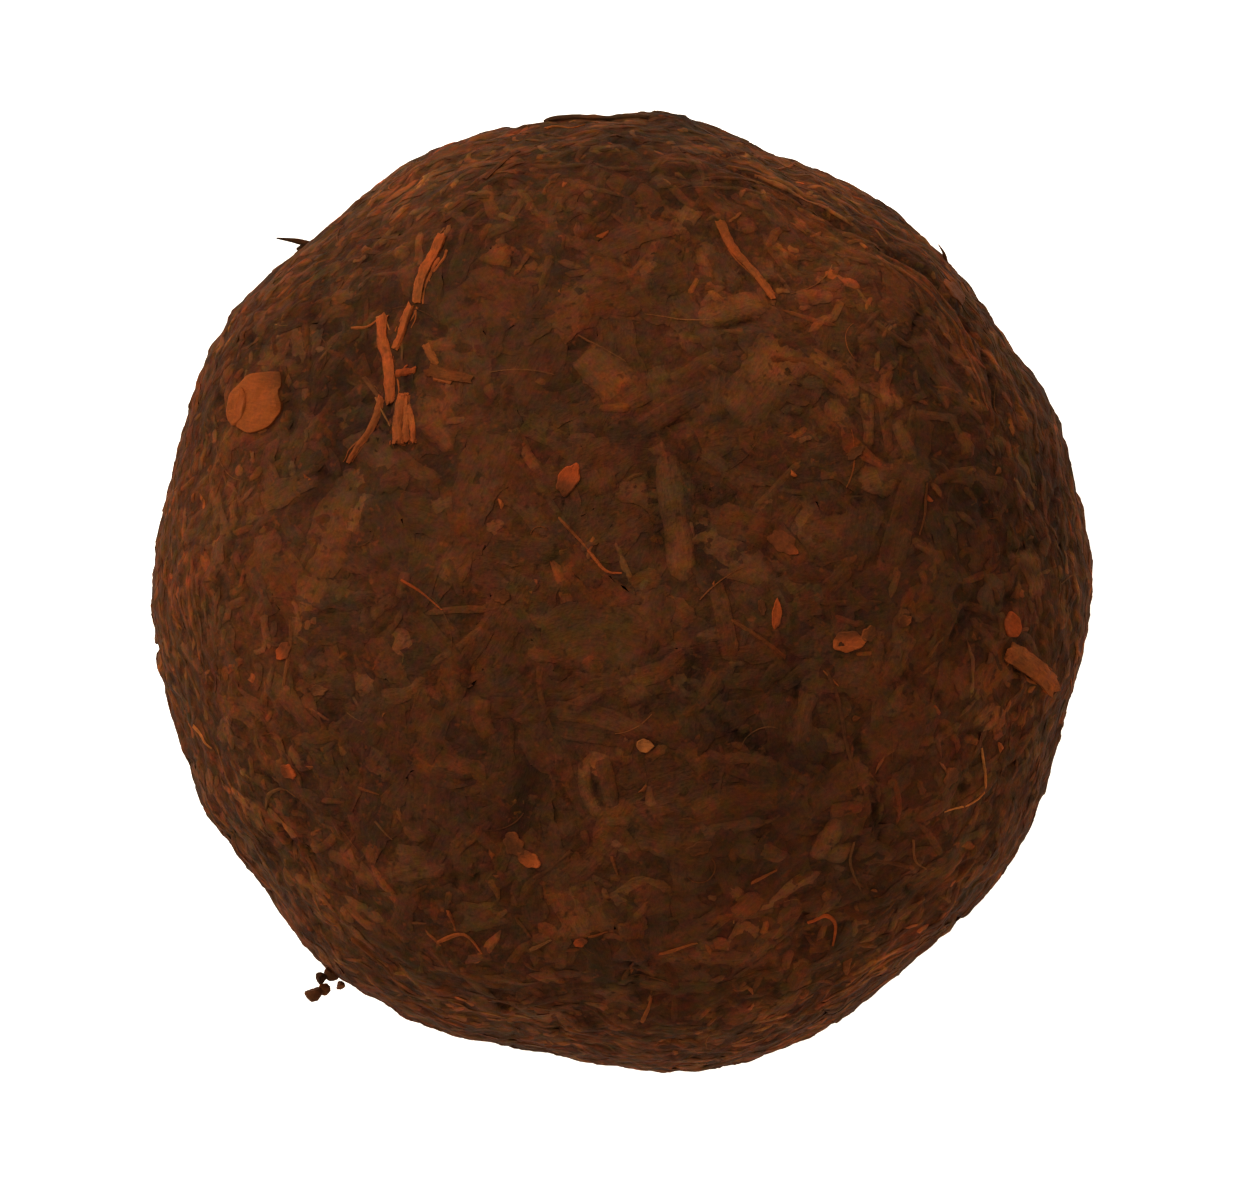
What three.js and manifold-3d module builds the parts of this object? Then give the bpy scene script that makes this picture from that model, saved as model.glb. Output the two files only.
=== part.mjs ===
// Pu-erh tuocha: a nest of pressed tea, domed above and hollow beneath, about 100 g.
// The block is one solid. Its skin is a turned section, pressed a little out of round, and the
// leaves, strips and twigs that stand out of it are closed lofts fused on. Millimetres, +Z up.
import * as THREE from 'three';
import { mergeVertices } from 'three/addons/utils/BufferGeometryUtils.js';
import Module from 'manifold-3d';

const { lerp, smoothstep, clamp } = THREE.MathUtils;
const TURN = 2 * Math.PI;

// ---- Driving dimensions ----

const RADIUS = 40.8; // mean radius of the packed surface at its widest level
const HEIGHT = 43.6; // rest plane to the top of the dome
const WIDEST_LEVEL = 12; // height of the widest level
const DOME_POWER = 2.25; // 2 is an ellipse; more is flatter on top and fuller at the shoulder
const SKIRT_POWER = 2.2;
const REST_OUTER = 33.5; // the flat ring that the block rests on
const REST_INNER = 27.5;
const LIP_RADIUS = 4;
const HOLLOW_DEPTH = 25;
const HOLLOW_POWER = 2.2;
const HOLLOW_RADIUS = REST_INNER - LIP_RADIUS;

const PLEATS = 9; // folds that the pressing cloth leaves in the hollow
const PLEAT_DEPTH = 0.8;
const PLEAT_TWIST = 0.9; // radians from the lip to the middle

const CORE_SIDES = 48; // facets round the core
const FLAKES = 92; // pressed leaves and strips on the outside
const HOLLOW_FLAKES = 7;
const LOWEST_FLAKE = 4.5; // no leaf starts lower than this, so the rest ring stays bare
const LEAF_DEPTH = 0.9; // how far the underside of a leaf reaches into the block
const LEAF_DIVE = 0.3; // how far its ends dive under the surface
const FLOOR_CLEARANCE = 0.1;
const FUSE_TOLERANCE = 0.01; // edges shorter than this close up where leaves are fused

// The axis of the dome, which lies a little off the middle of the box that holds the block.
const AXIS_X = -0.37;
const AXIS_Y = 0.48;

// How the outline wanders from a circle: waves round the block, as a share of its radius.
const OUTLINE_WAVES = [
  { waves: 2, share: 0.0126, phase: 2.65 },
  { waves: 4, share: 0.0036, phase: -1.31 },
  { waves: 5, share: 0.0061, phase: -0.8 },
  { waves: 8, share: 0.0061, phase: -1.17 },
  { waves: 12, share: 0.0036, phase: 0.68 },
];

// Uneven packing under the leaves: plane waves through the block, millimetres.
const LUMPS = 14;
const LUMP_HEIGHT = 0.11;
const LUMP_SHORTEST = 12;
const LUMP_LONGEST = 34;
const REST_FADE = 3.5; // height over which relief dies away towards the rest plane

// ---- Seeded draws ----

function drawsFrom(seed) {
  let state = seed >>> 0;
  const next = () => {
    state = (state + 0x6d2b79f5) >>> 0;
    let t = state;
    t = Math.imul(t ^ (t >>> 15), t | 1);
    t ^= t + Math.imul(t ^ (t >>> 7), t | 61);
    return ((t ^ (t >>> 14)) >>> 0) / 2 ** 32;
  };
  return { next, between: (low, high) => lerp(low, high, next()) };
}

// ---- Section of the block ----

// A quarter of a superellipse: place gets the two shares, rising from 0 to 1 and falling to 0.
function quarter(power, steps, place) {
  return Array.from({ length: steps + 1 }, (_, i) => {
    const angle = ((i / steps) * Math.PI) / 2;
    return place(Math.sin(angle) ** (2 / power), Math.cos(angle) ** (2 / power));
  });
}

const at = (x, y) => new THREE.Vector2(x, y);

// Down the dome, in under the skirt, across the rest ring, round the lip and up the hollow.
function section(fineness) {
  const rise = HEIGHT - WIDEST_LEVEL;
  const tuck = RADIUS - REST_OUTER;
  const vault = HOLLOW_DEPTH - LIP_RADIUS;
  return {
    dome: quarter(DOME_POWER, 13 * fineness, (out, up) => at(RADIUS * out, WIDEST_LEVEL + rise * up)),
    skirt: quarter(SKIRT_POWER, 4 * fineness, (down, out) => at(
      REST_OUTER + tuck * out, WIDEST_LEVEL * (1 - down))),
    lip: quarter(2, 3 * fineness, (inwards, down) => at(
      REST_INNER - LIP_RADIUS * inwards, LIP_RADIUS * (1 - down))),
    hollow: quarter(HOLLOW_POWER, 6 * fineness, (up, out) => at(
      HOLLOW_RADIUS * out, LIP_RADIUS + vault * up)),
  };
}

const COARSE = section(1);
const FINE = section(6);

const wholeSection = ({ dome, skirt, lip, hollow }) => [
  ...dome, ...skirt.slice(1), ...lip, ...hollow.slice(1)];

// The straight stretches of a run of the section, each with its way along and its way out.
function stretchesOf(points) {
  return points.slice(1).map((end, i) => {
    const along = end.clone().sub(points[i]);
    const length = along.length();
    along.divideScalar(length);
    return { start: points[i], along, length, normal: at(-along.y, along.x) };
  });
}

const STRETCHES = stretchesOf(wholeSection(FINE));

function outOfRound(azimuth) {
  return OUTLINE_WAVES.reduce(
    (sum, { waves, share, phase }) => sum + share * Math.cos(waves * azimuth + phase), 1);
}

// The place on the skin nearest to a point, and the way out of the block there.
function onSkin(point) {
  const azimuth = Math.atan2(point.y, point.x);
  const round = outOfRound(azimuth);
  const here = new THREE.Vector2(Math.hypot(point.x, point.y) / round, point.z);
  let best = null;
  for (const { start, along, length, normal } of STRETCHES) {
    const reach = clamp(here.clone().sub(start).dot(along), 0, length);
    const spot = start.clone().addScaledVector(along, reach);
    const distance = spot.distanceToSquared(here);
    if (!best || distance < best.distance) best = { distance, spot, normal };
  }
  const out = new THREE.Vector2(Math.cos(azimuth), Math.sin(azimuth));
  return {
    foot: new THREE.Vector3(
      best.spot.x * round * out.x, best.spot.x * round * out.y, best.spot.y),
    normal: new THREE.Vector3(
      best.normal.x * out.x, best.normal.x * out.y, best.normal.y).normalize(),
  };
}

// The place on the dome that shows at x, y when the block is seen from straight above.
function underEye(x, y) {
  const share = Math.min(Math.hypot(x, y) / (RADIUS * outOfRound(Math.atan2(y, x))), 1);
  const up = (1 - share ** DOME_POWER) ** (1 / DOME_POWER);
  return new THREE.Vector3(x, y, WIDEST_LEVEL + (HEIGHT - WIDEST_LEVEL) * up);
}

// ---- Uneven packing ----

const lumpDraws = drawsFrom(11);
const LUMP_WAVES = Array.from({ length: LUMPS }, () => {
  const azimuth = lumpDraws.between(0, TURN);
  const rise = lumpDraws.between(-1, 1);
  const level = Math.sqrt(1 - rise * rise);
  const way = new THREE.Vector3(level * Math.cos(azimuth), level * Math.sin(azimuth), rise);
  const wavelength = lumpDraws.between(LUMP_SHORTEST, LUMP_LONGEST);
  return { way: way.multiplyScalar(TURN / wavelength), phase: lumpDraws.between(0, TURN) };
});

function lumpAt(point) {
  const fade = smoothstep(point.z, 0, REST_FADE);
  return fade * LUMP_WAVES.reduce(
    (sum, { way, phase }) => sum + LUMP_HEIGHT * Math.sin(way.dot(point) + phase), 0);
}

// The hollow is drawn in between the pleats and stands out along them.
function pleatAt(point) {
  const share = Math.hypot(point.x, point.y) / HOLLOW_RADIUS;
  if (share > 1 || point.z < LIP_RADIUS || point.z > HOLLOW_DEPTH + 1) return 0;
  const fade = smoothstep(share, 0.1, 0.6) * smoothstep(point.z, LIP_RADIUS, LIP_RADIUS * 3);
  const turned = PLEATS * (Math.atan2(point.y, point.x) + PLEAT_TWIST * share);
  return (PLEAT_DEPTH / 2) * fade * (Math.cos(turned) - 1);
}

// A point at a height above the packed surface, measured straight out of the skin.
function raised(point, height) {
  const { foot, normal } = onSkin(point);
  const place = foot.clone().addScaledVector(normal, height + lumpAt(foot));
  place.z = Math.max(place.z, FLOOR_CLEARANCE);
  return place;
}

// ---- Lofts ----

// Joins rings of points into one closed mesh. A ring of one point is a tip, and a wider end
// ring is shut by a fan from its first point.
function loft(rings) {
  const points = rings.flat();
  const firsts = [];
  rings.reduce((count, ring, i) => {
    firsts[i] = count;
    return count + ring.length;
  }, 0);
  const faces = [];
  for (let i = 0; i + 1 < rings.length; i += 1) {
    const a = firsts[i];
    const b = firsts[i + 1];
    const sides = Math.max(rings[i].length, rings[i + 1].length);
    for (let j = 0; j < sides; j += 1) {
      const k = (j + 1) % sides;
      if (rings[i].length === 1) faces.push(a, b + j, b + k);
      else if (rings[i + 1].length === 1) faces.push(a + j, b, a + k);
      else faces.push(a + j, b + j, b + k, a + j, b + k, a + k);
    }
  }
  for (const [index, turn] of [[0, false], [rings.length - 1, true]]) {
    for (let j = 1; j + 1 < rings[index].length; j += 1) {
      const fan = [firsts[index], firsts[index] + j, firsts[index] + j + 1];
      faces.push(...(turn ? fan.reverse() : fan));
    }
  }
  const geometry = new THREE.BufferGeometry().setFromPoints(points);
  geometry.setIndex(faces);
  return geometry;
}

// The packed block under its leaves: a ring of points at each level of the section.
function core() {
  return loft(wholeSection(COARSE).map((spot) => {
    const sides = spot.x < 1e-6 ? 1 : CORE_SIDES;
    return Array.from({ length: sides }, (_, j) => {
      const azimuth = (j / sides) * TURN;
      const radius = spot.x * outOfRound(azimuth);
      const { foot, normal } = onSkin(new THREE.Vector3(
        radius * Math.cos(azimuth), radius * Math.sin(azimuth), spot.y));
      foot.addScaledVector(normal, lumpAt(foot) + pleatAt(foot));
      foot.z = Math.max(foot.z, 0);
      return foot;
    });
  }));
}

// Frames along a route on the skin: where it is, its way forward, the way out and the way aside.
function framesAlong(route, stations) {
  const curve = new THREE.CatmullRomCurve3(route, false, 'centripetal');
  const frames = [];
  for (let i = 0; i < stations; i += 1) {
    const share = i / (stations - 1);
    const { foot, normal } = onSkin(curve.getPointAt(share));
    const forward = curve.getTangentAt(share).projectOnPlane(normal).normalize();
    frames.push({ share, foot, normal, aside: new THREE.Vector3().crossVectors(normal, forward) });
  }
  return frames;
}

// A pressed leaf or strip: its ends dive under, and one edge stands proud of the other.
function leaf({ route, width, stations = 5, low = -0.15, high = 0.6, crest = 0.5, blunt = 0.55 }) {
  return loft(framesAlong(route, stations).map(({ share, foot, aside }, i) => {
    if (i === 0 || i === stations - 1) return [raised(foot, -LEAF_DIVE)];
    const half = (width / 2) * Math.sin(Math.PI * share) ** blunt;
    const spot = (across) => foot.clone().addScaledVector(aside, across * half);
    return [
      raised(spot(-1), low), raised(spot(0.15), crest), raised(spot(1), high),
      raised(spot(0.2), -LEAF_DEPTH),
    ];
  }));
}

// A twig: a round stem lying in the skin, cut square at both ends.
function twig({ route, width, stations = 4, bury = 0.2, taper = 1, sides = 6 }) {
  const rings = framesAlong(route, stations).map(({ share, foot, normal, aside }) => {
    const radius = (width / 2) * lerp(1, taper, share);
    const centre = raised(foot, radius * (1 - bury));
    return Array.from({ length: sides }, (_, j) => {
      const angle = (j / sides) * TURN;
      return centre.clone()
        .addScaledVector(aside, -radius * Math.cos(angle))
        .addScaledVector(normal, radius * 0.8 * Math.sin(angle));
    });
  });
  return loft(rings);
}

// A flat scale lying on the skin, such as a bud scale: an oval plate with a crowned top.
function scale({ x, y, length, width, heading, lift = 0.55, dip = -0.4, sides = 12 }) {
  const { foot, normal } = onSkin(underEye(x, y));
  const along = new THREE.Vector3(Math.cos(heading), Math.sin(heading), 0)
    .projectOnPlane(normal).normalize();
  const aside = new THREE.Vector3().crossVectors(normal, along);
  const ring = (size, height) => Array.from({ length: sides }, (_, j) => {
    const angle = (j / sides) * TURN;
    const spot = foot.clone()
      .addScaledVector(along, (size * length * Math.cos(angle)) / 2)
      .addScaledVector(aside, (-size * width * Math.sin(angle)) / 2);
    return raised(spot, height);
  });
  return loft([ring(0.8, dip), ring(1, lift * 0.55), ring(0.82, lift), [raised(foot, lift * 1.15)]]);
}

// ---- Leaves pressed all over ----

// Route of a leaf that starts at a place on the skin and runs a length along it, curving.
function routeFrom(place, heading, length, bend) {
  const steps = 4;
  const points = [];
  let { foot, normal } = onSkin(place);
  const way = heading.clone();
  for (let i = 0; i <= steps; i += 1) {
    points.push(foot);
    way.projectOnPlane(normal).normalize().applyAxisAngle(normal, bend / steps);
    ({ foot, normal } = onSkin(foot.clone().addScaledVector(way, length / steps)));
  }
  return points;
}

// Places spread evenly over the skin that a run of the section sweeps round the axis.
function spreadPlaces(count, points) {
  const stretches = stretchesOf(points);
  const areas = stretches.map(({ start, along, length }) => (start.x + (along.x * length) / 2) * length);
  const whole = areas.reduce((sum, area) => sum + area, 0);
  const golden = Math.PI * (3 - Math.sqrt(5));
  return Array.from({ length: count }, (_, i) => {
    let left = (whole * (i + 0.5)) / count;
    const k = areas.findIndex((area) => {
      left -= area;
      return left <= 0;
    });
    const { start, along, length } = stretches[k];
    const spot = start.clone().addScaledVector(along, length * (1 + left / areas[k]));
    const azimuth = i * golden;
    return new THREE.Vector3(spot.x * Math.cos(azimuth), spot.x * Math.sin(azimuth), spot.y);
  });
}

// Broad leaves lie any way on the dome; towards the rim they narrow and turn to run round it.
function pressedLeaves() {
  const { next, between } = drawsFrom(3);
  const outside = [...FINE.dome, ...FINE.skirt.filter((spot) => spot.y > LOWEST_FLAKE)];
  const inside = FINE.hollow.filter((spot) => spot.y > LIP_RADIUS * 2);
  const places = [
    ...spreadPlaces(FLAKES, outside).map((place) => {
      const edge = Math.hypot(place.x, place.y) / RADIUS;
      return { place, rim: place.z < WIDEST_LEVEL ? 1 : smoothstep(edge, 0.5, 0.95) };
    }),
    ...spreadPlaces(HOLLOW_FLAKES, inside).map((place) => ({ place, rim: 0.3 })),
  ];
  return places.map(({ place, rim }) => {
    const round = Math.atan2(place.y, place.x) + Math.PI / 2 + lerp(Math.PI, 0.3, rim) * between(-1, 1);
    const heading = new THREE.Vector3(Math.cos(round), Math.sin(round), 0.25 * rim * between(-1, 1));
    const narrow = next() < lerp(0.2, 0.6, rim);
    const length = narrow ? between(10, 16) : between(9, 14);
    const width = narrow ? between(2, 3) : between(4.2, 7) * lerp(1, 0.72, rim);
    const proud = between(0.4, 0.7) * lerp(0.8, 1.2, rim);
    const turned = next() < 0.5;
    return leaf({
      route: routeFrom(place, heading, length, between(-0.5, 0.5)),
      width,
      low: turned ? proud : -0.15,
      high: turned ? -0.15 : proud,
      crest: proud * 0.9,
      blunt: between(0.35, 0.65),
    });
  });
}

// ---- Pieces that stand out, at x, y as seen from straight above ----

const seen = (...spots) => spots.map(([x, y]) => underEye(x, y));

// A broken twig group at the upper left: two long stems end to end and their side shoots.
function brokenTwigs() {
  return [
    twig({ route: seen([-14.6, 29.6], [-16.0, 26.8], [-17.4, 24.3]), width: 1.5, bury: 0.15 }),
    twig({ route: seen([-17.2, 24.4], [-18.2, 22.6], [-18.9, 21.0]), width: 1.2, bury: 0.3 }),
    twig({ route: seen([-20.3, 23.4], [-19.6, 21.6], [-19.5, 16.2]), width: 1.7, bury: 0.25 }),
    twig({ route: seen([-19.2, 16.6], [-18.5, 14.6], [-18.0, 12.6]), width: 2.0, bury: 0.1 }),
    twig({ route: seen([-19.7, 16.5], [-20.8, 14.8], [-22.7, 11.7]), width: 1.0, taper: 0.5, bury: 0.2 }),
    twig({ route: seen([-19.1, 19.2], [-17.2, 18.9]), width: 1.0, stations: 3, bury: 0.2 }),
    twig({ route: seen([-15.7, 18.9], [-14.1, 18.4], [-12.1, 17.7]), width: 1.2, bury: 0.2 }),
  ];
}

// Single sticks, the longest lying across the rim at the upper right.
function sticks() {
  return [
    twig({ route: seen([8.8, 31.3], [11.5, 28.3], [13.4, 26.0]), width: 1.3, taper: 0.7 }),
    twig({ route: seen([33.4, -4.6], [35.4, -6.0], [37.2, -7.6]), width: 1.8, bury: 0.5 }),
    twig({ route: seen([17.9, -6.8], [19.4, -11.4], [21.5, -17.1]), width: 0.9, bury: 0.1, taper: 0.7 }),
    twig({ route: seen([-6.0, 41.0], [-2.2, 41.5], [2.4, 41.3]), width: 1.8, bury: 0.1, taper: 0.6 }),
  ];
}

// Scales and buds lying flat on the dome.
function scales() {
  return [
    scale({ x: -31, y: 16.3, length: 5.6, width: 4.1, heading: 0.8, lift: 0.8 }),
    scale({ x: -4.2, y: 9.6, length: 3.2, width: 2.1, heading: 1.2 }),
    scale({ x: 9.9, y: -17.8, length: 7.4, width: 3.6, heading: 0.15, lift: 0.45 }),
    scale({ x: 19.7, y: -4.1, length: 3.6, width: 1.9, heading: 0.25 }),
    scale({ x: -8.0, y: -21.9, length: 2.8, width: 2.2, heading: 2.2 }),
    scale({ x: 6.7, y: -21.2, length: 2.7, width: 1.6, heading: 0.2 }),
    scale({ x: 33.9, y: -2.8, length: 2.2, width: 1.4, heading: 1.6 }),
  ];
}

// Large leaves that read at arm's length.
function blades() {
  return [
    leaf({ route: seen([3.6, 11.9], [4.9, 7], [5.8, 1.3]), width: 3.2, high: 0.5, crest: 0.5 }),
    leaf({ route: seen([7.3, 6.5], [10.6, 5.5], [15, 2.8]), width: 4.6, low: 0.35, high: 0.05 }),
    leaf({ route: seen([7, 23.4], [9.8, 24.4], [13, 25.4]), width: 3.6, high: 0.7, crest: 0.6 }),
    leaf({ route: seen([25.4, 10.2], [24.2, 6.6], [22.7, 2.2]), width: 3.2, crest: 0.6 }),
    leaf({ route: seen([-2.5, 20.3], [-1.8, 18], [-1.1, 15.6]), width: 4, crest: 0.45 }),
    leaf({ route: seen([8.6, 14.4], [12, 18], [15.6, 21.3]), width: 5.4, low: 0.3, crest: 0.5 }),
  ];
}

// Long strips lying side by side along the rim at the upper right and the lower right.
function rimStrands() {
  const strand = (route, width) => leaf({ route, width, stations: 7, low: 0.1, high: 0.7, crest: 0.75 });
  return [
    strand(seen([8.5, 37], [13.3, 36.4], [18.3, 34.3], [21.8, 31.9]), 1.6),
    strand(seen([5.9, 34.8], [11, 35.2], [14.9, 33.9], [17.4, 31.8]), 1.5),
    strand(seen([20.5, 31.9], [24.1, 29.5], [28, 26.1], [30.6, 23.1]), 1.5),
    strand(seen([19.7, 29.8], [26.2, 25.4], [29.2, 22.1], [31.3, 17.8]), 1.3),
    strand(seen([29.3, 25.2], [31.9, 21.8], [33.6, 17.4], [34.8, 13.1]), 1.4),
    strand(seen([16, -36.1], [20.8, -33.3], [25.2, -30.6], [28.2, -28.7]), 1.6),
    strand(seen([-19.3, -33.7], [-14.5, -34.9], [-8.5, -35.8]), 1.5),
  ];
}

// ---- Fusing ----

const wasm = await Module();
wasm.setup();

function solidOf(geometry) {
  const merged = mergeVertices(geometry, 1e-4);
  return new wasm.Manifold(new wasm.Mesh({
    numProp: 3,
    vertProperties: new Float32Array(merged.getAttribute('position').array),
    triVerts: new Uint32Array(merged.getIndex().array),
    tolerance: FUSE_TOLERANCE,
  }));
}

// The outer shell of a fused solid: overlapping leaves can seal a pocket, which is filled.
function outerShell(solid) {
  return solid.decompose().reduce((a, b) => (b.volume() > a.volume() ? b : a));
}

function fused(block, pieces) {
  const solid = outerShell(pieces.reduce((sum, piece) => sum.add(solidOf(piece)), solidOf(block)));
  const { numProp, vertProperties, triVerts } = solid.getMesh();
  const geometry = new THREE.BufferGeometry();
  geometry.setAttribute('position', new THREE.Float32BufferAttribute(vertProperties, numProp));
  geometry.setIndex(Array.from(triVerts));
  return geometry;
}

const geometry = fused(core(), [
  ...pressedLeaves(), ...brokenTwigs(), ...sticks(), ...scales(), ...blades(), ...rimStrands(),
]);
geometry.translate(AXIS_X, AXIS_Y, 0);
geometry.computeVertexNormals();

const pressedTea = new THREE.MeshStandardMaterial({
  color: 0x47261a, roughness: 0.75, metalness: 0, flatShading: true,
});
const tuocha = new THREE.Mesh(geometry, pressedTea);
tuocha.name = 'tuocha';

const part = new THREE.Group();
part.add(tuocha);
export default part;
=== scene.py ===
"""Pu-erh tuocha: a nest-shaped block of pressed dark tea, dressed over its frame.

The tea is laid on the turned skin of the block from the bottom up: broad leaves, small leaves,
rolled strips and shreds, each draped over what lies beneath. The whole bed is then pressed flush,
hard on the crown of the dome and less at the rim, and the twigs, bud scales, hairs and crumbs that
stand out lie where they show.
"""
import math
from dataclasses import dataclass

import bpy
import numpy as np
from bpy.props import FloatProperty, FloatVectorProperty, IntProperty, PointerProperty
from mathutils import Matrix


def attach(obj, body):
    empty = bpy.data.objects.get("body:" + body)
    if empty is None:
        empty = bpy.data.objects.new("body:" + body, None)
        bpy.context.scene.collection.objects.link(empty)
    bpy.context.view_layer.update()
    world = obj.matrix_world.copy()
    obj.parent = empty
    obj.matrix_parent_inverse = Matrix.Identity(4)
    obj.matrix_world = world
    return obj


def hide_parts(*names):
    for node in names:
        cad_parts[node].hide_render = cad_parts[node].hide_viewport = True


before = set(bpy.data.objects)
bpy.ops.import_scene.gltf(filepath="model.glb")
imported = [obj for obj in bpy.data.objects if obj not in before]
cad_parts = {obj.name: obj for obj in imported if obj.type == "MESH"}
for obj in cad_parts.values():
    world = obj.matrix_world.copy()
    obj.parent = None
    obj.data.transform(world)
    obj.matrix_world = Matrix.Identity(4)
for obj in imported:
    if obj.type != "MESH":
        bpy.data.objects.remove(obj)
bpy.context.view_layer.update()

bl_info = {
    "name": "Pu-erh Tuocha",
    "version": (1, 0, 0),
    "blender": (4, 5, 0),
    "location": "View3D > Sidebar > Tuocha",
    "description": "Models a nest-shaped block of pressed dark tea and its small studio",
    "category": "Object",
}

MM = 0.001
TURN = 2 * math.pi
NODE = "tuocha"
BODY = "root"
COLOUR = "leaf_colour"
GRAIN_MAP = "grain"
BAKE_MAP = "OFBake"

# Where each kind of random draw starts, so that every run lays the same tea.
SEEDS = {
    "layers": 41, "standing_out": 7, "stems": 19, "creases": 29, "core_tones": 3, "leaf_tones": 101,
    "strip_tones": 102, "shred_tones": 103, "stem_tones": 104, "scales": 105,
}


# ---- Sizes and colours that a user would change ----


class TuochaShape(bpy.types.PropertyGroup):
    """The turned section of the block, as its frame has it."""
    radius: FloatProperty(
        name="Radius", description="Mean radius at the widest level", default=0.0408, unit="LENGTH")
    height: FloatProperty(
        name="Height", description="Rest plane to the top of the dome", default=0.0436, unit="LENGTH")
    widest: FloatProperty(
        name="Widest level", description="Height of the widest level", default=0.012, unit="LENGTH")
    dome_power: FloatProperty(
        name="Dome power", description="2 is an ellipse, more is flatter on top", default=2.25)
    skirt_power: FloatProperty(
        name="Skirt power", description="Fullness of the tuck under the widest level", default=2.2)
    rest_outer: FloatProperty(
        name="Rest ring outside", description="Outer radius of the flat ring", default=0.0335,
        unit="LENGTH")
    rest_inner: FloatProperty(
        name="Rest ring inside", description="Inner radius of the flat ring", default=0.0275,
        unit="LENGTH")
    rest_lift: FloatProperty(
        name="Rest lift", description="Packed tea above the rest plane, which its leaves fill",
        default=0.0003, unit="LENGTH")
    lip: FloatProperty(
        name="Lip radius", description="Rounding into the hollow", default=0.004, unit="LENGTH")
    hollow_depth: FloatProperty(
        name="Hollow depth", description="Rest plane to the top of the hollow", default=0.025,
        unit="LENGTH")
    hollow_power: FloatProperty(
        name="Hollow power", description="Fullness of the hollow", default=2.2)
    axis: FloatVectorProperty(
        name="Axis", description="Where the dome's axis stands in the frame", size=2,
        default=(-0.00037, 0.00048), unit="LENGTH")


class TuochaLeaves(bpy.types.PropertyGroup):
    """How much tea is laid, and how hard it is pressed."""
    broad_leaf: IntProperty(name="Broad leaves", description="Opened pressed leaves", default=640)
    small_leaf: IntProperty(name="Small leaves", description="Small and torn leaves", default=1240)
    strip: IntProperty(name="Strips", description="Rolled leaf strips", default=2040)
    shred: IntProperty(name="Shreds", description="Short torn bits", default=4400)
    stems: IntProperty(name="Stems", description="Stems besides the ones that stand out", default=26)
    hairs: IntProperty(
        name="Hairs", description="Fine fibres besides the ones that stand out", default=110)
    chips: IntProperty(name="Chips", description="Small chips of bud and stem", default=130)
    creases: IntProperty(name="Creases", description="Short creases between leaves", default=420)
    press_dome: FloatProperty(
        name="Pressing on the dome", description="Share of the relief pressed away", default=0.9)
    press_rim: FloatProperty(
        name="Pressing at the rim", description="Share of the relief pressed away", default=0.88)
    squash_dome: FloatProperty(
        name="Relief on the dome", description="Share of each piece's own relief that is left",
        default=0.6)
    squash_rim: FloatProperty(
        name="Relief at the rim", description="Share of each piece's own relief that is left",
        default=0.33)
    proud: FloatProperty(
        name="Leaf height", description="Mean height of the leaves over the packed skin",
        default=0.00018, unit="LENGTH")
    core_voxel: FloatProperty(
        name="Core mesh size", description="Face size of the packed tea under the leaves",
        default=0.00056, unit="LENGTH")


class TuochaTones(bpy.types.PropertyGroup):
    """Colours of the tea, as light leaves it."""
    dark: FloatVectorProperty(
        name="Dark leaf", description="Darkest pressed leaf", subtype="COLOR",
        default=(0.0425, 0.0163, 0.0070))
    brown: FloatVectorProperty(
        name="Brown leaf", description="Commonest leaf", subtype="COLOR",
        default=(0.0650, 0.0212, 0.0077))
    olive: FloatVectorProperty(
        name="Olive leaf", description="Less roasted leaf", subtype="COLOR",
        default=(0.0605, 0.0233, 0.0080))
    red: FloatVectorProperty(
        name="Red-brown leaf", description="Redder leaf", subtype="COLOR",
        default=(0.088, 0.0237, 0.0069))
    tan: FloatVectorProperty(
        name="Tan leaf", description="Palest leaf", subtype="COLOR",
        default=(0.106, 0.0342, 0.0108))
    bark: FloatVectorProperty(
        name="Bark", description="Weathered stems", subtype="COLOR",
        default=(0.156, 0.0375, 0.0098))
    stem: FloatVectorProperty(
        name="Stem", description="Broken twigs", subtype="COLOR",
        default=(0.272, 0.0550, 0.0125))
    husk: FloatVectorProperty(
        name="Husk", description="The large scale", subtype="COLOR", default=(0.176, 0.0400, 0.0086))
    bud: FloatVectorProperty(
        name="Bud", description="Orange bud scales", subtype="COLOR",
        default=(0.238, 0.0405, 0.0090))
    gold: FloatVectorProperty(
        name="Gold tip", description="Palest tips and hairs", subtype="COLOR",
        default=(0.25, 0.0735, 0.0185))


class TuochaStudio(bpy.types.PropertyGroup):
    """Camera and light."""
    frame_width: FloatProperty(
        name="Frame width", description="Width of the view at the widest level of the block",
        default=0.10955, unit="LENGTH")
    lens: FloatProperty(name="Lens", description="Focal length in millimetres", default=250)
    offset: FloatVectorProperty(
        name="Camera offset", description="Camera from the block's axis", size=2,
        default=(0.0006, -0.00057), unit="LENGTH")
    key: FloatProperty(name="Key light", description="Power of the key light", default=6.05)
    sky: FloatProperty(name="Sky", description="Strength of the even light", default=0.4)


# ---- What stands out, at x, y in millimetres from the axis, seen from straight above ----

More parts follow.
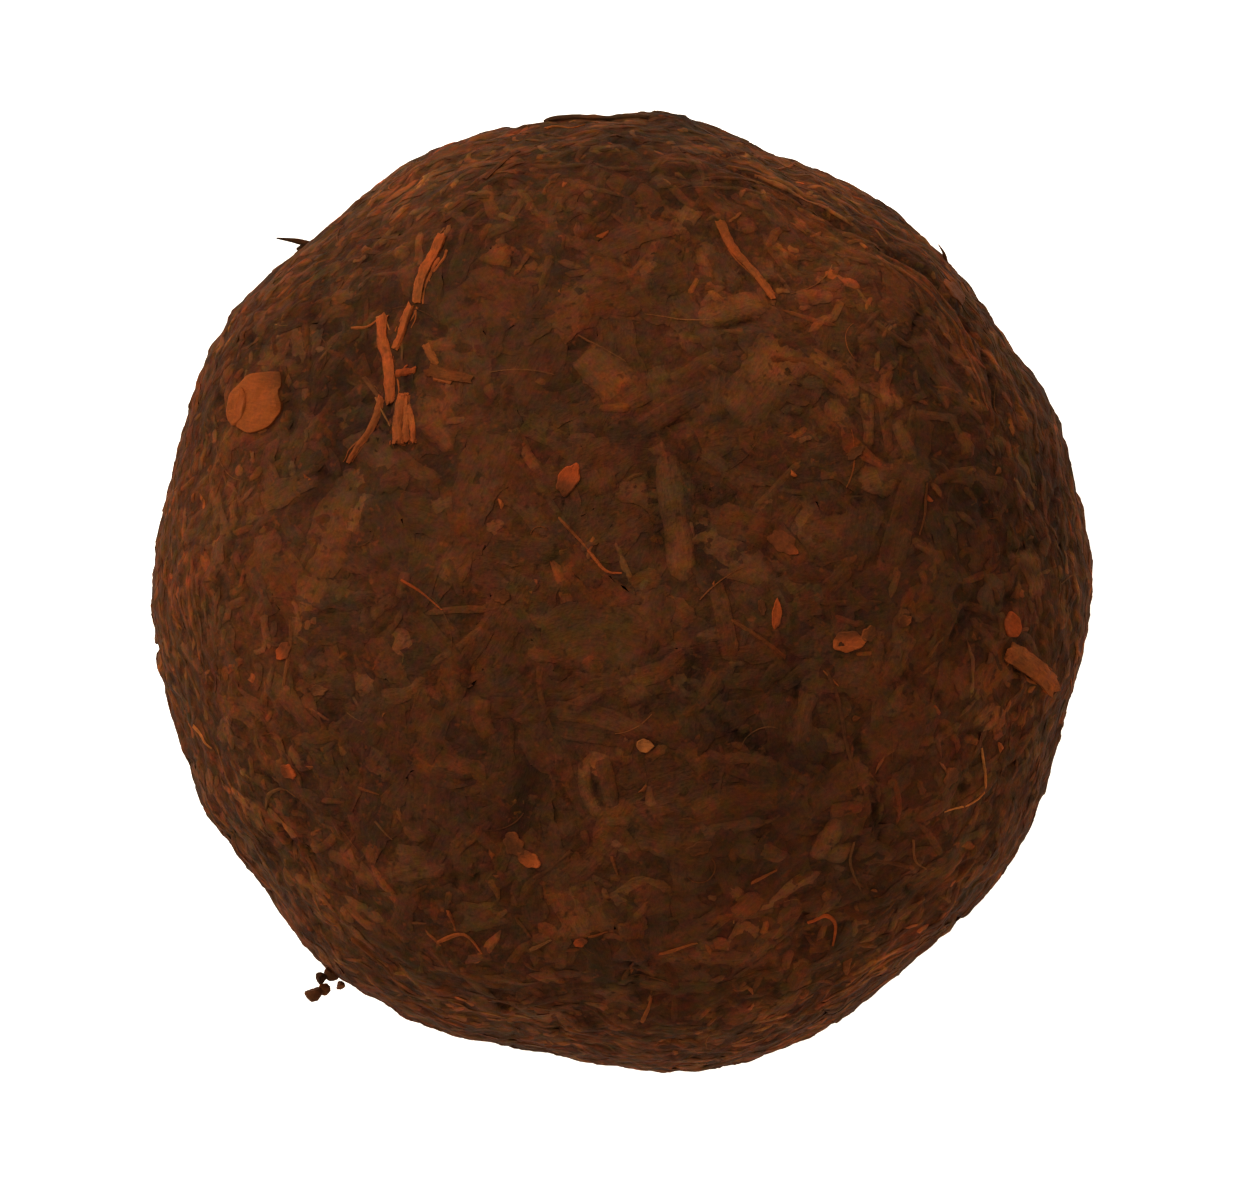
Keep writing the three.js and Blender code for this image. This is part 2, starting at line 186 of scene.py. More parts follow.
# Split stems: route, width, taper, how deep they are sunk, tone.
TWIGS = (
    (((-14.8, 29.6), (-15.6, 28.1), (-16.5, 26.5), (-17.1, 24.6)), 1.2, 0.8, 0.3, "stem"),
    (((-14.1, 30.5), (-14.5, 29.9), (-15.0, 29.2)), 0.9, 0.8, 0.5, "tan"),
    (((-17.6, 24.3), (-18.2, 23.1), (-18.7, 21.8), (-19.1, 20.9)), 0.95, 0.9, 0.35, "stem"),
    (((-20.1, 23.3), (-20.2, 21.7), (-19.8, 20.3), (-19.6, 18.2), (-19.6, 16.5)),
     1.15, 0.95, 0.35, "stem"),
    (((-18.5, 16.8), (-18.8, 14.8), (-18.7, 12.9)), 1.15, 1.1, 0.25, "stem"),
    (((-18.2, 16.6), (-18.1, 14.8), (-18.0, 12.9)), 0.8, 1.1, 0.35, "stem"),
    (((-17.9, 15.9), (-17.5, 14.4), (-17.4, 12.9)), 0.6, 1.0, 0.4, "stem"),
    (((-20.4, 16.8), (-21.0, 14.9), (-21.8, 13.4), (-23.2, 11.3)), 0.9, 0.5, 0.35, "stem"),
    (((-21.9, 18.5), (-21.2, 17.6), (-20.5, 16.7)), 0.5, 0.8, 0.5, "tan"),
    (((-18.9, 18.9), (-17.4, 19.1)), 0.8, 0.8, 0.4, "bud"),
    (((-16.2, 20.9), (-15.9, 20.2), (-15.5, 19.5)), 0.9, 0.8, 0.5, "bark"),
    (((-16.0, 19.0), (-14.5, 18.5), (-12.5, 18.0)), 1.4, 0.6, 0.5, "red"),
    (((-15.6, 18.3), (-14.2, 17.9)), 0.7, 0.8, 0.5, "bark"),
    (((8.7, 31.5), (9.9, 29.6), (11.5, 28.1), (13.4, 25.8)), 1.1, 0.75, 0.5, "bark"),
    (((33.5, -4.9), (35.4, -6.2), (37.0, -7.9)), 2.1, 1.0, 0.5, "bark"),
    (((17.6, -6.6), (18.5, -9.0), (19.3, -12.9), (20.6, -17.0)), 0.42, 0.7, 0.4, "brown"),
    (((-6.0, 41.0), (-2.2, 41.5), (2.4, 41.3)), 1.5, 0.6, 0.25, "dark"),
)
# Fibres and leaf hairs: route, thickness, tone.
FIBRES = (
    (((-22.8, 22.6), (-21.5, 22.7), (-20.4, 23.3)), 0.34, "stem"),
    (((-20.6, 23.4), (-19.9, 23.5), (-19.5, 22.4)), 0.24, "gold"),
    (((-20.9, 16.8), (-20.3, 15.6), (-19.6, 14.3)), 0.22, "gold"),
    (((-5.1, 6.4), (-3.4, 4.6), (-2.3, 3.3)), 0.3, "bark"),
    (((-2.6, 3.6), (-1.1, 1.9), (0.2, 1.7)), 0.34, "stem"),
    (((-18.2, 1.1), (-16.6, 0.1), (-14.8, -1.4)), 0.26, "bud"),
    (((31.3, -13.4), (31.6, -15.6), (31.4, -17.2), (30.1, -18.2), (27.8, -18.7)), 0.34, "gold"),
    (((-30.7, -18.7), (-30.4, -17.5), (-29.2, -17.0), (-28.1, -17.7)), 0.45, "tan"),
    (((16.6, -28.8), (18.0, -28.2), (18.9, -28.9), (18.6, -30.6)), 0.45, "bud"),
    (((26.2, 9.4), (26.2, 7.0), (25.7, 5.0)), 0.3, "red"),
    (((-22.4, -16.7), (-20.5, -17.2)), 0.3, "red"),
    (((-20.8, -19.4), (-19.3, -21.0)), 0.26, "tan"),
    (((-15.3, -29.4), (-13.1, -28.7), (-11.5, -30.2)), 0.45, "bark"),
    (((-14.4, -26.7), (-13.8, -28.4)), 0.4, "bark"),
    (((-7.5, -30.1), (-5.7, -29.3)), 0.45, "tan"),
    (((3.4, -30.8), (6.7, -29.9)), 0.4, "bark"),
    (((2.0, -37.1), (2.8, -35.0)), 0.45, "bark"),
    (((11.4, -24.8), (13.5, -23.7)), 0.36, "bark"),
    (((-0.6, -22.4), (-0.1, -23.9)), 0.4, "red"),
    (((20.2, -21.4), (20.0, -23.5), (21.0, -25.8)), 0.3, "tan"),
    (((25.2, -21.1), (25.4, -22.9), (26.4, -23.7)), 0.3, "tan"),
    (((17.2, -6.5), (18.5, -7.8)), 0.26, "bark"),
    (((-3.4, 21.7), (0.6, 19.5)), 0.2, "tan"),
    (((-37.3, -11.7), (-35.9, -13.7)), 0.5, "gold"),
    (((-2.6, -29.2), (-0.9, -28.8)), 0.3, "red"),
)
# Large leaves: route, width, tone.
LARGE_LEAVES = (
    (((4.0, 12.2), (4.5, 7.8), (5.1, 4.5), (5.5, 0.9)), 2.4, "tan"),
    (((7.9, 6.6), (11.0, 5.6), (13.6, 4.6)), 2.8, "red"),
    (((12.2, 5.8), (13.6, 4.4), (15.5, 2.2)), 2.4, "red"),
    (((6.6, 23.0), (9.8, 24.3), (12.6, 25.3)), 2.6, "tan"),
    (((25.4, 10.2), (24.2, 6.6), (22.7, 1.8)), 2.6, "brown"),
    (((-3.2, 20.4), (-1.2, 18.6), (0.6, 16.8)), 3.6, "tan"),
    (((-1.9, 15.6), (1.1, 15.6)), 0.9, "red"),
    (((9.6, 14.2), (12.3, 17.8), (14.6, 21.5)), 5.0, "tan"),
    (((1.2, 13.2), (4.3, 15.2), (7.9, 17.3)), 1.9, "dark"),
    (((8.0, 1.4), (8.7, -1.8), (9.5, -5.8)), 1.5, "brown"),
    (((-4.9, -12.8), (-4.3, -16.0), (-2.7, -19.6)), 1.5, "brown"),
    (((-2.9, -13.8), (-2.8, -16.5), (-1.6, -19.2)), 1.3, "tan"),
    (((-1.4, -13.6), (-0.9, -16.4), (-0.4, -18.6)), 1.4, "brown"),
    (((5.9, -18.9), (9.8, -17.5), (14.2, -17.2)), 3.0, "red"),
    (((17.6, -18.4), (20.8, -18.1)), 1.3, "red"),
    (((-6.5, -4.5), (-2.5, -3.4), (2.2, -4.6)), 5.2, "olive"),
    (((-5.8, -9.8), (-1.0, -10.6), (3.2, -12.4)), 1.7, "brown"),
    (((1.2, -7.2), (3.6, -6.5), (5.6, -4.9)), 1.6, "red"),
    (((-10.6, -12.4), (-11.6, -10.6), (-11.5, -8.6)), 1.6, "red"),
)
# Long strips side by side along the rim: route, width, tone.
RIM_STRANDS = (
    (((8.5, 37.0), (13.3, 36.4), (18.3, 34.3), (21.8, 31.9)), 1.5, "tan"),
    (((5.9, 34.8), (11.0, 35.2), (14.9, 33.9), (17.4, 31.8)), 1.3, "brown"),
    (((12.0, 37.6), (17.0, 36.2), (21.4, 33.9), (24.6, 31.2)), 1.2, "olive"),
    (((21.5, 32.6), (25.1, 30.0), (28.8, 26.9), (31.4, 23.9)), 1.4, "brown"),
    (((19.7, 29.8), (23.0, 28.3), (26.2, 25.4), (29.2, 22.1), (31.3, 17.8)), 1.2, "dark"),
    (((30.2, 25.4), (32.6, 22.0), (34.4, 17.6), (35.4, 13.1)), 1.3, "olive"),
    (((29.2, 22.6), (31.2, 18.6), (32.4, 14.0)), 1.1, "brown"),
    (((14.0, 33.0), (19.0, 30.2), (23.5, 26.4), (26.5, 22.6)), 1.3, "brown"),
    (((2.6, 33.6), (2.9, 36.0), (5.1, 37.2), (7.0, 36.1), (7.4, 34.2)), 1.1, "brown"),
    (((16.0, -36.1), (20.8, -33.3), (25.2, -30.6), (28.2, -28.7)), 1.4, "tan"),
    (((-19.3, -33.7), (-17.4, -34.7), (-14.9, -34.2), (-11.9, -35.4), (-7.6, -36.7)), 0.9, "tan"),
    (((-16.2, -35.4), (-11.9, -36.4)), 0.9, "tan"),
    (((11.2, -36.8), (14.6, -35.9)), 1.0, "tan"),
    (((-30.5, 23.0), (-27.6, 26.2), (-24.0, 29.4)), 1.1, "olive"),
    (((-36.8, 6.0), (-36.9, 0.5), (-36.0, -6.0)), 1.2, "brown"),
)
# Bud scales: x, y, length, width, heading, tone, thickness, how much of it has worn to the tone
# of the leaves.
SCALES = (
    (-31.2, 16.0, 4.8, 4.1, 0.93, "husk", 0.40, 0.0),
    (-32.5, 15.6, 2.6, 1.4, 1.30, "husk", 0.56, 0.0),
    (-4.3, 9.5, 2.5, 1.8, 1.15, "bud", 0.30, 0.3),
    (19.3, -4.1, 2.7, 1.7, 0.10, "stem", 0.26, 0.2),
    (21.2, -3.5, 1.5, 1.1, 0.90, "bark", 0.24, 0.4),
    (-8.9, -21.4, 2.1, 1.6, 2.30, "bark", 0.28, 0.5),
    (-7.6, -22.7, 1.9, 1.3, 2.60, "stem", 0.30, 0.2),
    (6.7, -21.4, 2.3, 1.0, 0.25, "red", 0.20, 0.5),
    (33.9, -2.9, 1.8, 1.3, 1.55, "bud", 0.32, 0.0),
    (13.2, -1.9, 2.2, 0.8, 1.50, "bud", 0.22, 0.1),
    (12.0, -1.2, 1.4, 0.6, 1.70, "red", 0.20, 0.5),
    (13.9, 4.3, 2.6, 1.7, 2.30, "bud", 0.20, 0.6),
    (2.1, -12.9, 1.2, 1.2, 0.00, "gold", 0.36, 0.0),
    (-9.9, -0.3, 1.4, 1.1, 0.30, "bark", 0.24, 0.5),
    (-28.4, -15.4, 1.4, 1.1, 2.50, "bud", 0.26, 0.3),
    (-28.7, -5.0, 1.6, 1.1, 1.10, "bud", 0.24, 0.4),
    (-25.7, -8.3, 1.5, 0.9, 0.10, "tan", 0.22, 0.4),
    (24.3, -2.4, 1.2, 0.9, 0.60, "bark", 0.20, 0.4),
    (28.4, -15.8, 1.9, 1.2, 0.90, "bark", 0.22, 0.5),
    (20.2, 12.0, 1.5, 0.9, 0.60, "red", 0.20, 0.5),
    (-3.3, -29.7, 1.1, 0.8, 0.20, "bud", 0.24, 0.3),
    (28.9, 25.9, 2.6, 1.2, 2.40, "bark", 0.22, 0.5),
)
# Creases and pockets pressed into the tea, also painted darker as shade: route, width, depth.
CREASES = (
    (((8.4, 36.3), (13.4, 35.0), (16.8, 33.3)), 0.5, 0.5),
    (((17.3, 33.0), (20.2, 31.3), (22.4, 29.8)), 0.6, 0.55),
    (((22.9, 29.0), (25.4, 27.3), (27.6, 25.0)), 0.7, 0.6),
    (((28.0, 24.8), (29.2, 23.3), (31.1, 21.1)), 0.6, 0.55),
    (((31.0, 20.6), (31.8, 18.2), (32.1, 15.5)), 0.6, 0.6),
    (((6.8, -4.1), (6.5, -6.6), (6.3, -9.0), (6.6, -9.8)), 0.6, 0.5),
    (((1.4, -10.0), (3.5, -9.8), (6.0, -9.1)), 1.2, 0.45),
    (((-4.6, -14.6), (-5.0, -16.1), (-3.9, -18.2), (-3.1, -19.9)), 0.35, 0.4),
    (((-2.0, -15.4), (-2.0, -17.1), (-1.2, -18.4)), 0.35, 0.4),
    (((-12.5, -5.6), (-12.7, -8.1)), 0.4, 0.4),
    (((-15.9, -7.3), (-14.2, -9.0)), 0.45, 0.45),
    (((7.0, -9.8), (9.5, -11.5), (12.7, -13.8)), 0.4, 0.35),
    (((14.6, -7.3), (14.8, -8.5)), 0.4, 0.45),
    (((-4.1, -6.9), (-2.0, -8.5), (0.9, -9.6)), 0.5, 0.3),
    (((7.9, 22.3), (10.2, 22.9), (11.7, 23.6)), 0.45, 0.45),
    (((13.2, 27.0), (12.8, 25.2)), 0.4, 0.4),
    (((20.0, 20.9), (20.1, 18.9)), 0.4, 0.4),
    (((-15.1, 22.1), (-14.6, 22.3)), 0.7, 0.7),
    (((-13.6, 20.2), (-12.6, 21.0)), 0.4, 0.5),
    (((-17.9, 18.4), (-17.7, 16.9)), 0.45, 0.6),
    (((-19.4, 16.2), (-19.6, 15.6)), 0.35, 0.55),
    (((-20.6, 14.0), (-20.0, 13.6)), 0.4, 0.5),
    (((-5.0, 11.1), (-4.8, 10.8)), 0.5, 0.6),
    (((-30.9, -10.8), (-29.9, -12.5), (-29.7, -14.2)), 0.45, 0.55),
    (((-30.8, -15.5), (-28.8, -16.9), (-27.5, -18.0)), 0.5, 0.5),
    (((-29.2, -19.8), (-28.1, -22.1)), 0.55, 0.55),
    (((-16.8, -12.2), (-16.6, -12.2)), 0.4, 0.5),
    (((-10.4, -35.0), (-8.9, -35.4)), 0.5, 0.5),
    (((-5.7, -36.3), (-5.1, -38.4)), 0.55, 0.5),
    (((-0.3, -35.8), (1.2, -35.8)), 0.7, 0.4),
    (((21.4, -15.8), (21.7, -18.3), (22.2, -20.9)), 0.5, 0.65),
    (((28.0, -4.5), (29.3, -1.8), (30.6, -0.7)), 0.5, 0.5),
    (((33.4, -0.2), (34.0, -0.4)), 0.5, 0.5),
    (((19.9, -12.4), (20.8, -14.1)), 0.45, 0.5),
    (((26.8, -8.4), (27.4, -9.6)), 0.4, 0.5),
    (((29.0, -16.7), (29.5, -16.7)), 0.6, 0.5),
    (((1.8, 12.3), (3.9, 13.4), (6.2, 15.0)), 0.5, 0.5),
    (((5.6, 11.6), (6.4, 9.9), (7.0, 8.2)), 0.45, 0.55),
    (((-28.7, 15.2), (-28.2, 16.8), (-28.6, 18.0)), 0.5, 0.55),
    (((33.2, -5.8), (35.0, -7.2)), 0.4, 0.5),
    (((2.8, 10.6), (3.0, 7.6), (3.8, 3.9)), 0.4, 0.45),
    (((7.4, 8.6), (6.9, 5.4), (7.0, 2.4)), 0.45, 0.5),
    (((-28.0, 14.0), (-28.1, 16.4), (-28.5, 18.6)), 0.6, 0.5),
)
# Where the tea is lighter or darker over a few millimetres: x, y, radius, by how much.
PATCHES = (
    (10, 30, 5, 0.3), (15, 23, 4, 0.25), (29, -8, 5, 0.3), (24, -19, 5, 0.35), (5, -32, 8, 0.25),
    (-14, -28, 5, 0.15), (-26, -5, 6, 0.15), (-2, 8, 8, 0.08), (-12, 25, 5, -0.25), (-26, 21, 4, -0.35),
    (-21, 11, 4, -0.3), (8, 4, 4, -0.3), (12, -10, 6, -0.22), (-16, -15, 5, -0.35), (3, 38, 6, -0.3),
    (34, 8, 5, -0.25),
)
# Tips that stand out past the outline: x, y, height of each end, and thickness.
STRAY_TIPS = (
    (((-26.6, 30.4, 14.5), (-28.4, 30.8, 14.0), (-29.9, 31.0, 14.2)), 0.55, "dark"),
    (((-27.2, 30.3, 13.2), (-28.2, 30.1, 12.8)), 0.8, "dark"),
    (((28.6, 28.4, 15.0), (28.3, 29.6, 15.4), (27.8, 30.4, 15.6)), 0.35, "brown"),
    (((-24.8, -32.6, 12.5), (-25.6, -33.4, 12.6), (-26.2, -34.4, 12.8)), 0.5, "gold"),
)
# Crumbs that cling beside the block: x, y, height, size.
CRUMBS = (
    (-25.1, -33.2, 12.6, 1.5),
    (-26.1, -33.6, 13.2, 1.1),
    (-25.8, -34.6, 12.4, 1.2),
    (-26.7, -34.9, 13.1, 1.6),
    (-24.4, -34.3, 12.0, 0.9),
)


# ---- Kinds of tea in the bed ----


@dataclass
class Kind:
    """How pieces of one kind are drawn, in millimetres. Pairs are ranges."""
    stations: int
    tops: int
    bottoms: int
    length: tuple
    width: tuple
    thick: tuple
    at_rim: tuple = (1, 1, 1)
    crown: tuple = (2, 5)
    curl: float = 0.05
    tilt: float = 0.04
    ragged: float = 0.1
    wrinkle: float = 0.0
    stiff: float = 0.3
    bend: float = 0.35
    lean: float = 0.0


# at_rim: length, width and thickness there, as shares of those on the crown.
# lean: above 0 there are more of the kind at the rim, below 0 on the crown.
KINDS = {
    "broad_leaf": Kind(
        13, 8, 2, (5.0, 11.0), (1.8, 4.8), (0.05, 0.10), (0.7, 0.6, 1.5),
        curl=0.03, tilt=0.02, ragged=0.15, wrinkle=0.04, stiff=0.1, bend=0.4, lean=-0.6),
    "small_leaf": Kind(
        9, 7, 2, (2.4, 6.5), (1.0, 2.6), (0.05, 0.11), (0.8, 0.7, 1.7),
        curl=0.035, tilt=0.025, ragged=0.19, wrinkle=0.03, stiff=0.25, bend=0.5),
    "strip": Kind(
        7, 5, 2, (2.4, 7.5), (0.5, 1.5), (0.07, 0.15), (0.75, 0.8, 1.9),
        crown=(1.8, 3), curl=0.03, tilt=0.03, ragged=0.17, stiff=0.4, bend=0.7, lean=0.45),
    "shred": Kind(
        5, 3, 1, (1.0, 3.4), (0.3, 0.9), (0.07, 0.15), (0.9, 0.9, 1.6),
        crown=(1.8, 3), curl=0.03, tilt=0.03, ragged=0.22, stiff=0.45, bend=0.8, lean=0.6),
}
# Bottom to top: kind, and its share of the count.
LAYERS = (
    ("strip", 0.25), ("broad_leaf", 0.26), ("small_leaf", 0.22), ("strip", 0.25), ("shred", 0.2),
    ("broad_leaf", 0.26), ("small_leaf", 0.26), ("strip", 0.25), ("shred", 0.3),
    ("broad_leaf", 0.26), ("small_leaf", 0.26), ("strip", 0.25), ("shred", 0.25),
    ("broad_leaf", 0.22), ("small_leaf", 0.26), ("shred", 0.25),
)
LARGE_LEAF = Kind(
    16, 9, 3, (), (), (), crown=(2.5, 5), curl=0.09, tilt=0.05, ragged=0.06, wrinkle=0.04, stiff=0.15)
RIM_STRAND = Kind(
    18, 5, 2, (), (), (), crown=(1.9, 2.4), curl=0.02, tilt=0.04, ragged=0.07, stiff=0.5)
LEAF_TONES = {"dark": 1.6, "brown": 5.0, "olive": 1.6, "red": 1.6, "tan": 0.7}
STRIP_TONES = {"dark": 2.0, "brown": 5.0, "olive": 1.2, "red": 2.0, "tan": 0.8, "bark": 0.1}
SHRED_TONES = {"dark": 2.0, "brown": 4.0, "olive": 1.0, "red": 2.4, "tan": 1.6, "bark": 0.45}
STEM_TONES = {"brown": 3.0, "red": 3.0, "tan": 1.6, "bark": 0.2}
HAIR_TONES = {"brown": 3.0, "red": 2.0, "tan": 1.5, "bark": 0.5}
CHIP_TONES = {"red": 2.5, "bark": 2.5, "bud": 0.6, "stem": 0.5, "gold": 0.15}
CRUMB_TONES = {"dark": 2.0, "brown": 2.0, "tan": 1.0}


# ---- The turned skin ----

# How the outline wanders from a circle: waves round the block, share of its radius, phase.
OUTLINE_WAVES = (
    (2, 0.0126, 2.65),
    (4, 0.0036, -1.31),
    (5, 0.0061, -0.8),
    (8, 0.0061, -1.17),
    (12, 0.0036, 0.68),
)
# Where the leaves stand further out or lie further in round the widest level: azimuth and
# half width in degrees, millimetres.
OUTLINE_DENTS = (
    (-165, 8, 0.2),
    (-150, 12, -0.6),
    (-120, 9, 0.3),
    (-100, 8, -0.2),
    (-75, 8, 0.35),
    (-60, 10, -0.4),
    (-15, 8, 0.45),
    (4, 14, -0.5),
    (34, 12, 0.4),
    (60, 9, -0.55),
    (104, 26, 0.5),
    (120, 8, 0.15),
    (136, 10, -0.25),
    (163, 12, 0.6),
    (180, 8, -0.2),
)
# Points on each part of the turned section.
DOME_STEPS, SKIRT_STEPS, LIP_STEPS, HOLLOW_STEPS = 90, 30, 12, 50
# Gentle lumps all over the block, and the level over which they fade out towards the ring.
LUMPS = 14
LUMP_HEIGHT = 0.11
LUMP_WAVELENGTHS = (12, 34)
LUMP_SEED = 11
REST_FADE = 3.5
# Pleats that the pressing cloth leaves in the hollow.
PLEATS = 9
PLEAT_DEPTH = 0.8
PLEAT_TWIST = 0.9
# The lowest that any tea lies over the floor.
LOWEST = 0.004


def draws(purpose):
    """Random draws for one purpose, the same in every run."""
    return np.random.default_rng(SEEDS[purpose])


def column(rows, index):
    """One column of a table, as an array."""
    return np.array([row[index] for row in rows])


def smoothstep(low, high, value):
    share = np.clip((value - low) / (high - low), 0, 1)
    return share * share * (3 - 2 * share)


def blend(low, high, share):
    return low + (high - low) * share


def unit(vectors):
    return vectors / np.maximum(np.linalg.norm(vectors, axis=-1, keepdims=True), 1e-9)


def lump_draws(seed):
    """The small generator that the block's own lumps are drawn with."""
    mask = 0xFFFFFFFF
    state = seed
    while True:
        state = (state + 0x6D2B79F5) & mask
        value = ((state ^ (state >> 15)) * (state | 1)) & mask
        value ^= (value + (((value ^ (value >> 7)) * (value | 61)) & mask)) & mask
        yield ((value ^ (value >> 14)) & mask) / 2 ** 32


def wave(azimuth, rise, wavelength, phase, height):
    level = math.sqrt(1 - rise * rise)
    way = np.array([level * math.cos(azimuth), level * math.sin(azimuth), rise])
    return way * TURN / wavelength, phase, height


def lump_waves():
    values = lump_draws(LUMP_SEED)
    waves = []
    for _ in range(LUMPS):
        azimuth = TURN * next(values)
        rise = blend(-1, 1, next(values))
        wavelength = blend(*LUMP_WAVELENGTHS, next(values))
        phase = TURN * next(values)
        waves.append(wave(azimuth, rise, wavelength, phase, LUMP_HEIGHT))
    return waves


def random_waves(seed, count, wavelengths, spread_by):
    """Waves in all directions that add up to an even, random field with a given spread."""
    rng = np.random.default_rng(seed)
    height = spread_by * math.sqrt(2 / count)
    return [
        wave(rng.uniform(0, TURN), rng.uniform(-1, 1), rng.uniform(*wavelengths), rng.uniform(0, TURN),
             height)
        for _ in range(count)]


def field(waves, points):
    """What waves add up to at points."""
    total = np.zeros(points.shape[:-1])
    for way, phase, height in waves:
        total += height * np.sin(points @ way + phase)
    return total


def out_of_round(azimuth):
    """The outline's reach at an azimuth, as a share of the mean radius."""
    total = np.ones_like(azimuth)
    for waves, share, phase in OUTLINE_WAVES:
        total += share * np.cos(waves * azimuth + phase)
    return total


def quarter(power, steps):
    """Sines and cosines along a quarter of a superellipse."""
    angle = np.linspace(0, math.pi / 2, steps + 1)
    return np.sin(angle) ** (2 / power), np.cos(angle) ** (2 / power)


class Skin:
    """The turned section, and the places and ways out that it gives. Millimetres."""

    chunk = 8192
    dents = (random_waves(seed=5, count=28, wavelengths=(3.0, 9.0), spread_by=0.09)
             + random_waves(seed=9, count=26, wavelengths=(1.6, 3.2), spread_by=0.06))
    tones = random_waves(seed=6, count=36, wavelengths=(1.8, 16.0), spread_by=0.125)
    warmths = random_waves(seed=8, count=30, wavelengths=(1.5, 8.0), spread_by=0.09)
    specks = random_waves(seed=12, count=30, wavelengths=(0.7, 2.4), spread_by=0.2)

    def __init__(self, shape):
        self.shape = shape
        size = {name: getattr(shape, name) / MM for name in (
            "radius", "height", "widest", "rest_outer", "rest_inner", "rest_lift", "lip",
            "hollow_depth")}
        self.radius, self.widest, self.height = size["radius"], size["widest"], size["height"]
        self.hollow_depth = size["hollow_depth"]
        self.hollow_radius = size["rest_inner"] - size["lip"]
        self.lip_level = size["rest_lift"] + size["lip"]
        out, up = quarter(shape.dome_power, DOME_STEPS)
        dome = np.stack([self.radius * out, self.widest + (self.height - self.widest) * up], 1)
        down, out = quarter(shape.skirt_power, SKIRT_STEPS)
        skirt = np.stack([
            size["rest_outer"] + (self.radius - size["rest_outer"]) * out,
            self.widest - (self.widest - size["rest_lift"]) * down], 1)
        inwards, down = quarter(2, LIP_STEPS)
        lip = np.stack([
            size["rest_inner"] - size["lip"] * inwards,
            size["rest_lift"] + size["lip"] * (1 - down)], 1)
        up, out = quarter(shape.hollow_power, HOLLOW_STEPS)
        hollow = np.stack([
            self.hollow_radius * out,
            self.lip_level + (self.hollow_depth - self.lip_level) * up], 1)
        self.line = np.concatenate([dome, skirt[1:], lip, hollow[1:]])
        step = np.diff(self.line, axis=0)
        self.length = np.hypot(*step.T)
        self.along = step / self.length[:, None]
        self.run = np.concatenate([[0], np.cumsum(self.length)])
        way_out = np.stack([-self.along[:, 1], self.along[:, 0]], 1)
        corner = np.concatenate([way_out[:1], way_out[:-1] + way_out[1:], way_out[-1:]])
        self.way_out = unit(corner)
        self.widest_run = self.run[DOME_STEPS]
        ring = DOME_STEPS + SKIRT_STEPS
        self.ring_run = (self.run[ring] + self.run[ring + 1]) / 2
        self.lumps = lump_waves()

    def at(self, run, azimuth):
        """Foot and way out at a run down the section and an azimuth."""
        radius = np.interp(run, self.run, self.line[:, 0]) * out_of_round(azimuth)
        level = np.interp(run, self.run, self.line[:, 1])
        east, north = np.cos(azimuth), np.sin(azimuth)
        side = np.interp(run, self.run, self.way_out[:, 0])
        up = np.interp(run, self.run, self.way_out[:, 1])
        foot = np.stack([radius * east, radius * north, level], -1)
        return foot, unit(np.stack([side * east, side * north, up], -1))

    def find(self, points):
        """Run and azimuth of the places on the skin nearest to points."""
        flat = points.reshape(-1, 3)
        azimuth = np.arctan2(flat[:, 1], flat[:, 0])
        here = np.stack([np.hypot(flat[:, 0], flat[:, 1]) / out_of_round(azimuth), flat[:, 2]], 1)
        run = np.empty(len(flat))
        for start in range(0, len(flat), self.chunk):
            gap = here[start:start + self.chunk, None, :] - self.line[None, :-1]
            reach = np.clip((gap * self.along).sum(2), 0, self.length)
            off = gap - reach[..., None] * self.along
            best = (off * off).sum(2).argmin(1)
            run[start:start + self.chunk] = self.run[best] + reach[np.arange(len(best)), best]
        shape = points.shape[:-1]
        return run.reshape(shape), azimuth.reshape(shape)

    def under_eye(self, spots, lift=0.0):
        """Places on the dome over which a thing, at a height of lift, shows at x, y seen from
        straight above."""
        spots = np.asarray(spots, float)
        _, out = self.at(*self.find(self.on_dome(spots)))
        return self.on_dome(spots - lift * out[:, :2])

    def on_dome(self, spots):
        """Places on the dome right under spots at x, y."""
        azimuth = np.arctan2(spots[:, 1], spots[:, 0])
        share = np.minimum(np.hypot(*spots.T) / (self.radius * out_of_round(azimuth)), 1)
        power = self.shape.dome_power
        level = self.widest + (self.height - self.widest) * (1 - share ** power) ** (1 / power)
        return np.concatenate([spots, level[:, None]], 1)

    def unevenness(self, foot):
        """Uneven packing, dents, and the pleats of the pressing cloth in the hollow."""
        total = field(self.lumps, foot) + field(self.dents, foot)
        total = total * smoothstep(0, REST_FADE, foot[..., 2])
        share = np.hypot(foot[..., 0], foot[..., 1]) / self.hollow_radius
        inside = (share < 1.02) & (foot[..., 2] < self.hollow_depth + 1)
        fade = smoothstep(0.1, 0.6, share) * smoothstep(self.lip_level, 12, foot[..., 2])
        turned = PLEATS * (np.arctan2(foot[..., 1], foot[..., 0]) + PLEAT_TWIST * share)
        total = total + np.where(inside, PLEAT_DEPTH / 2 * fade * (np.cos(turned) - 1), 0)
        azimuth = np.degrees(np.arctan2(foot[..., 1], foot[..., 0]))
        outside = smoothstep(20, 36, np.hypot(foot[..., 0], foot[..., 1])) * ~inside
        for middle, width, height in OUTLINE_DENTS:
            away = (azimuth - middle + 180) % 360 - 180
            total += height * outside * np.exp(-0.5 * (away / width) ** 2)
        return total

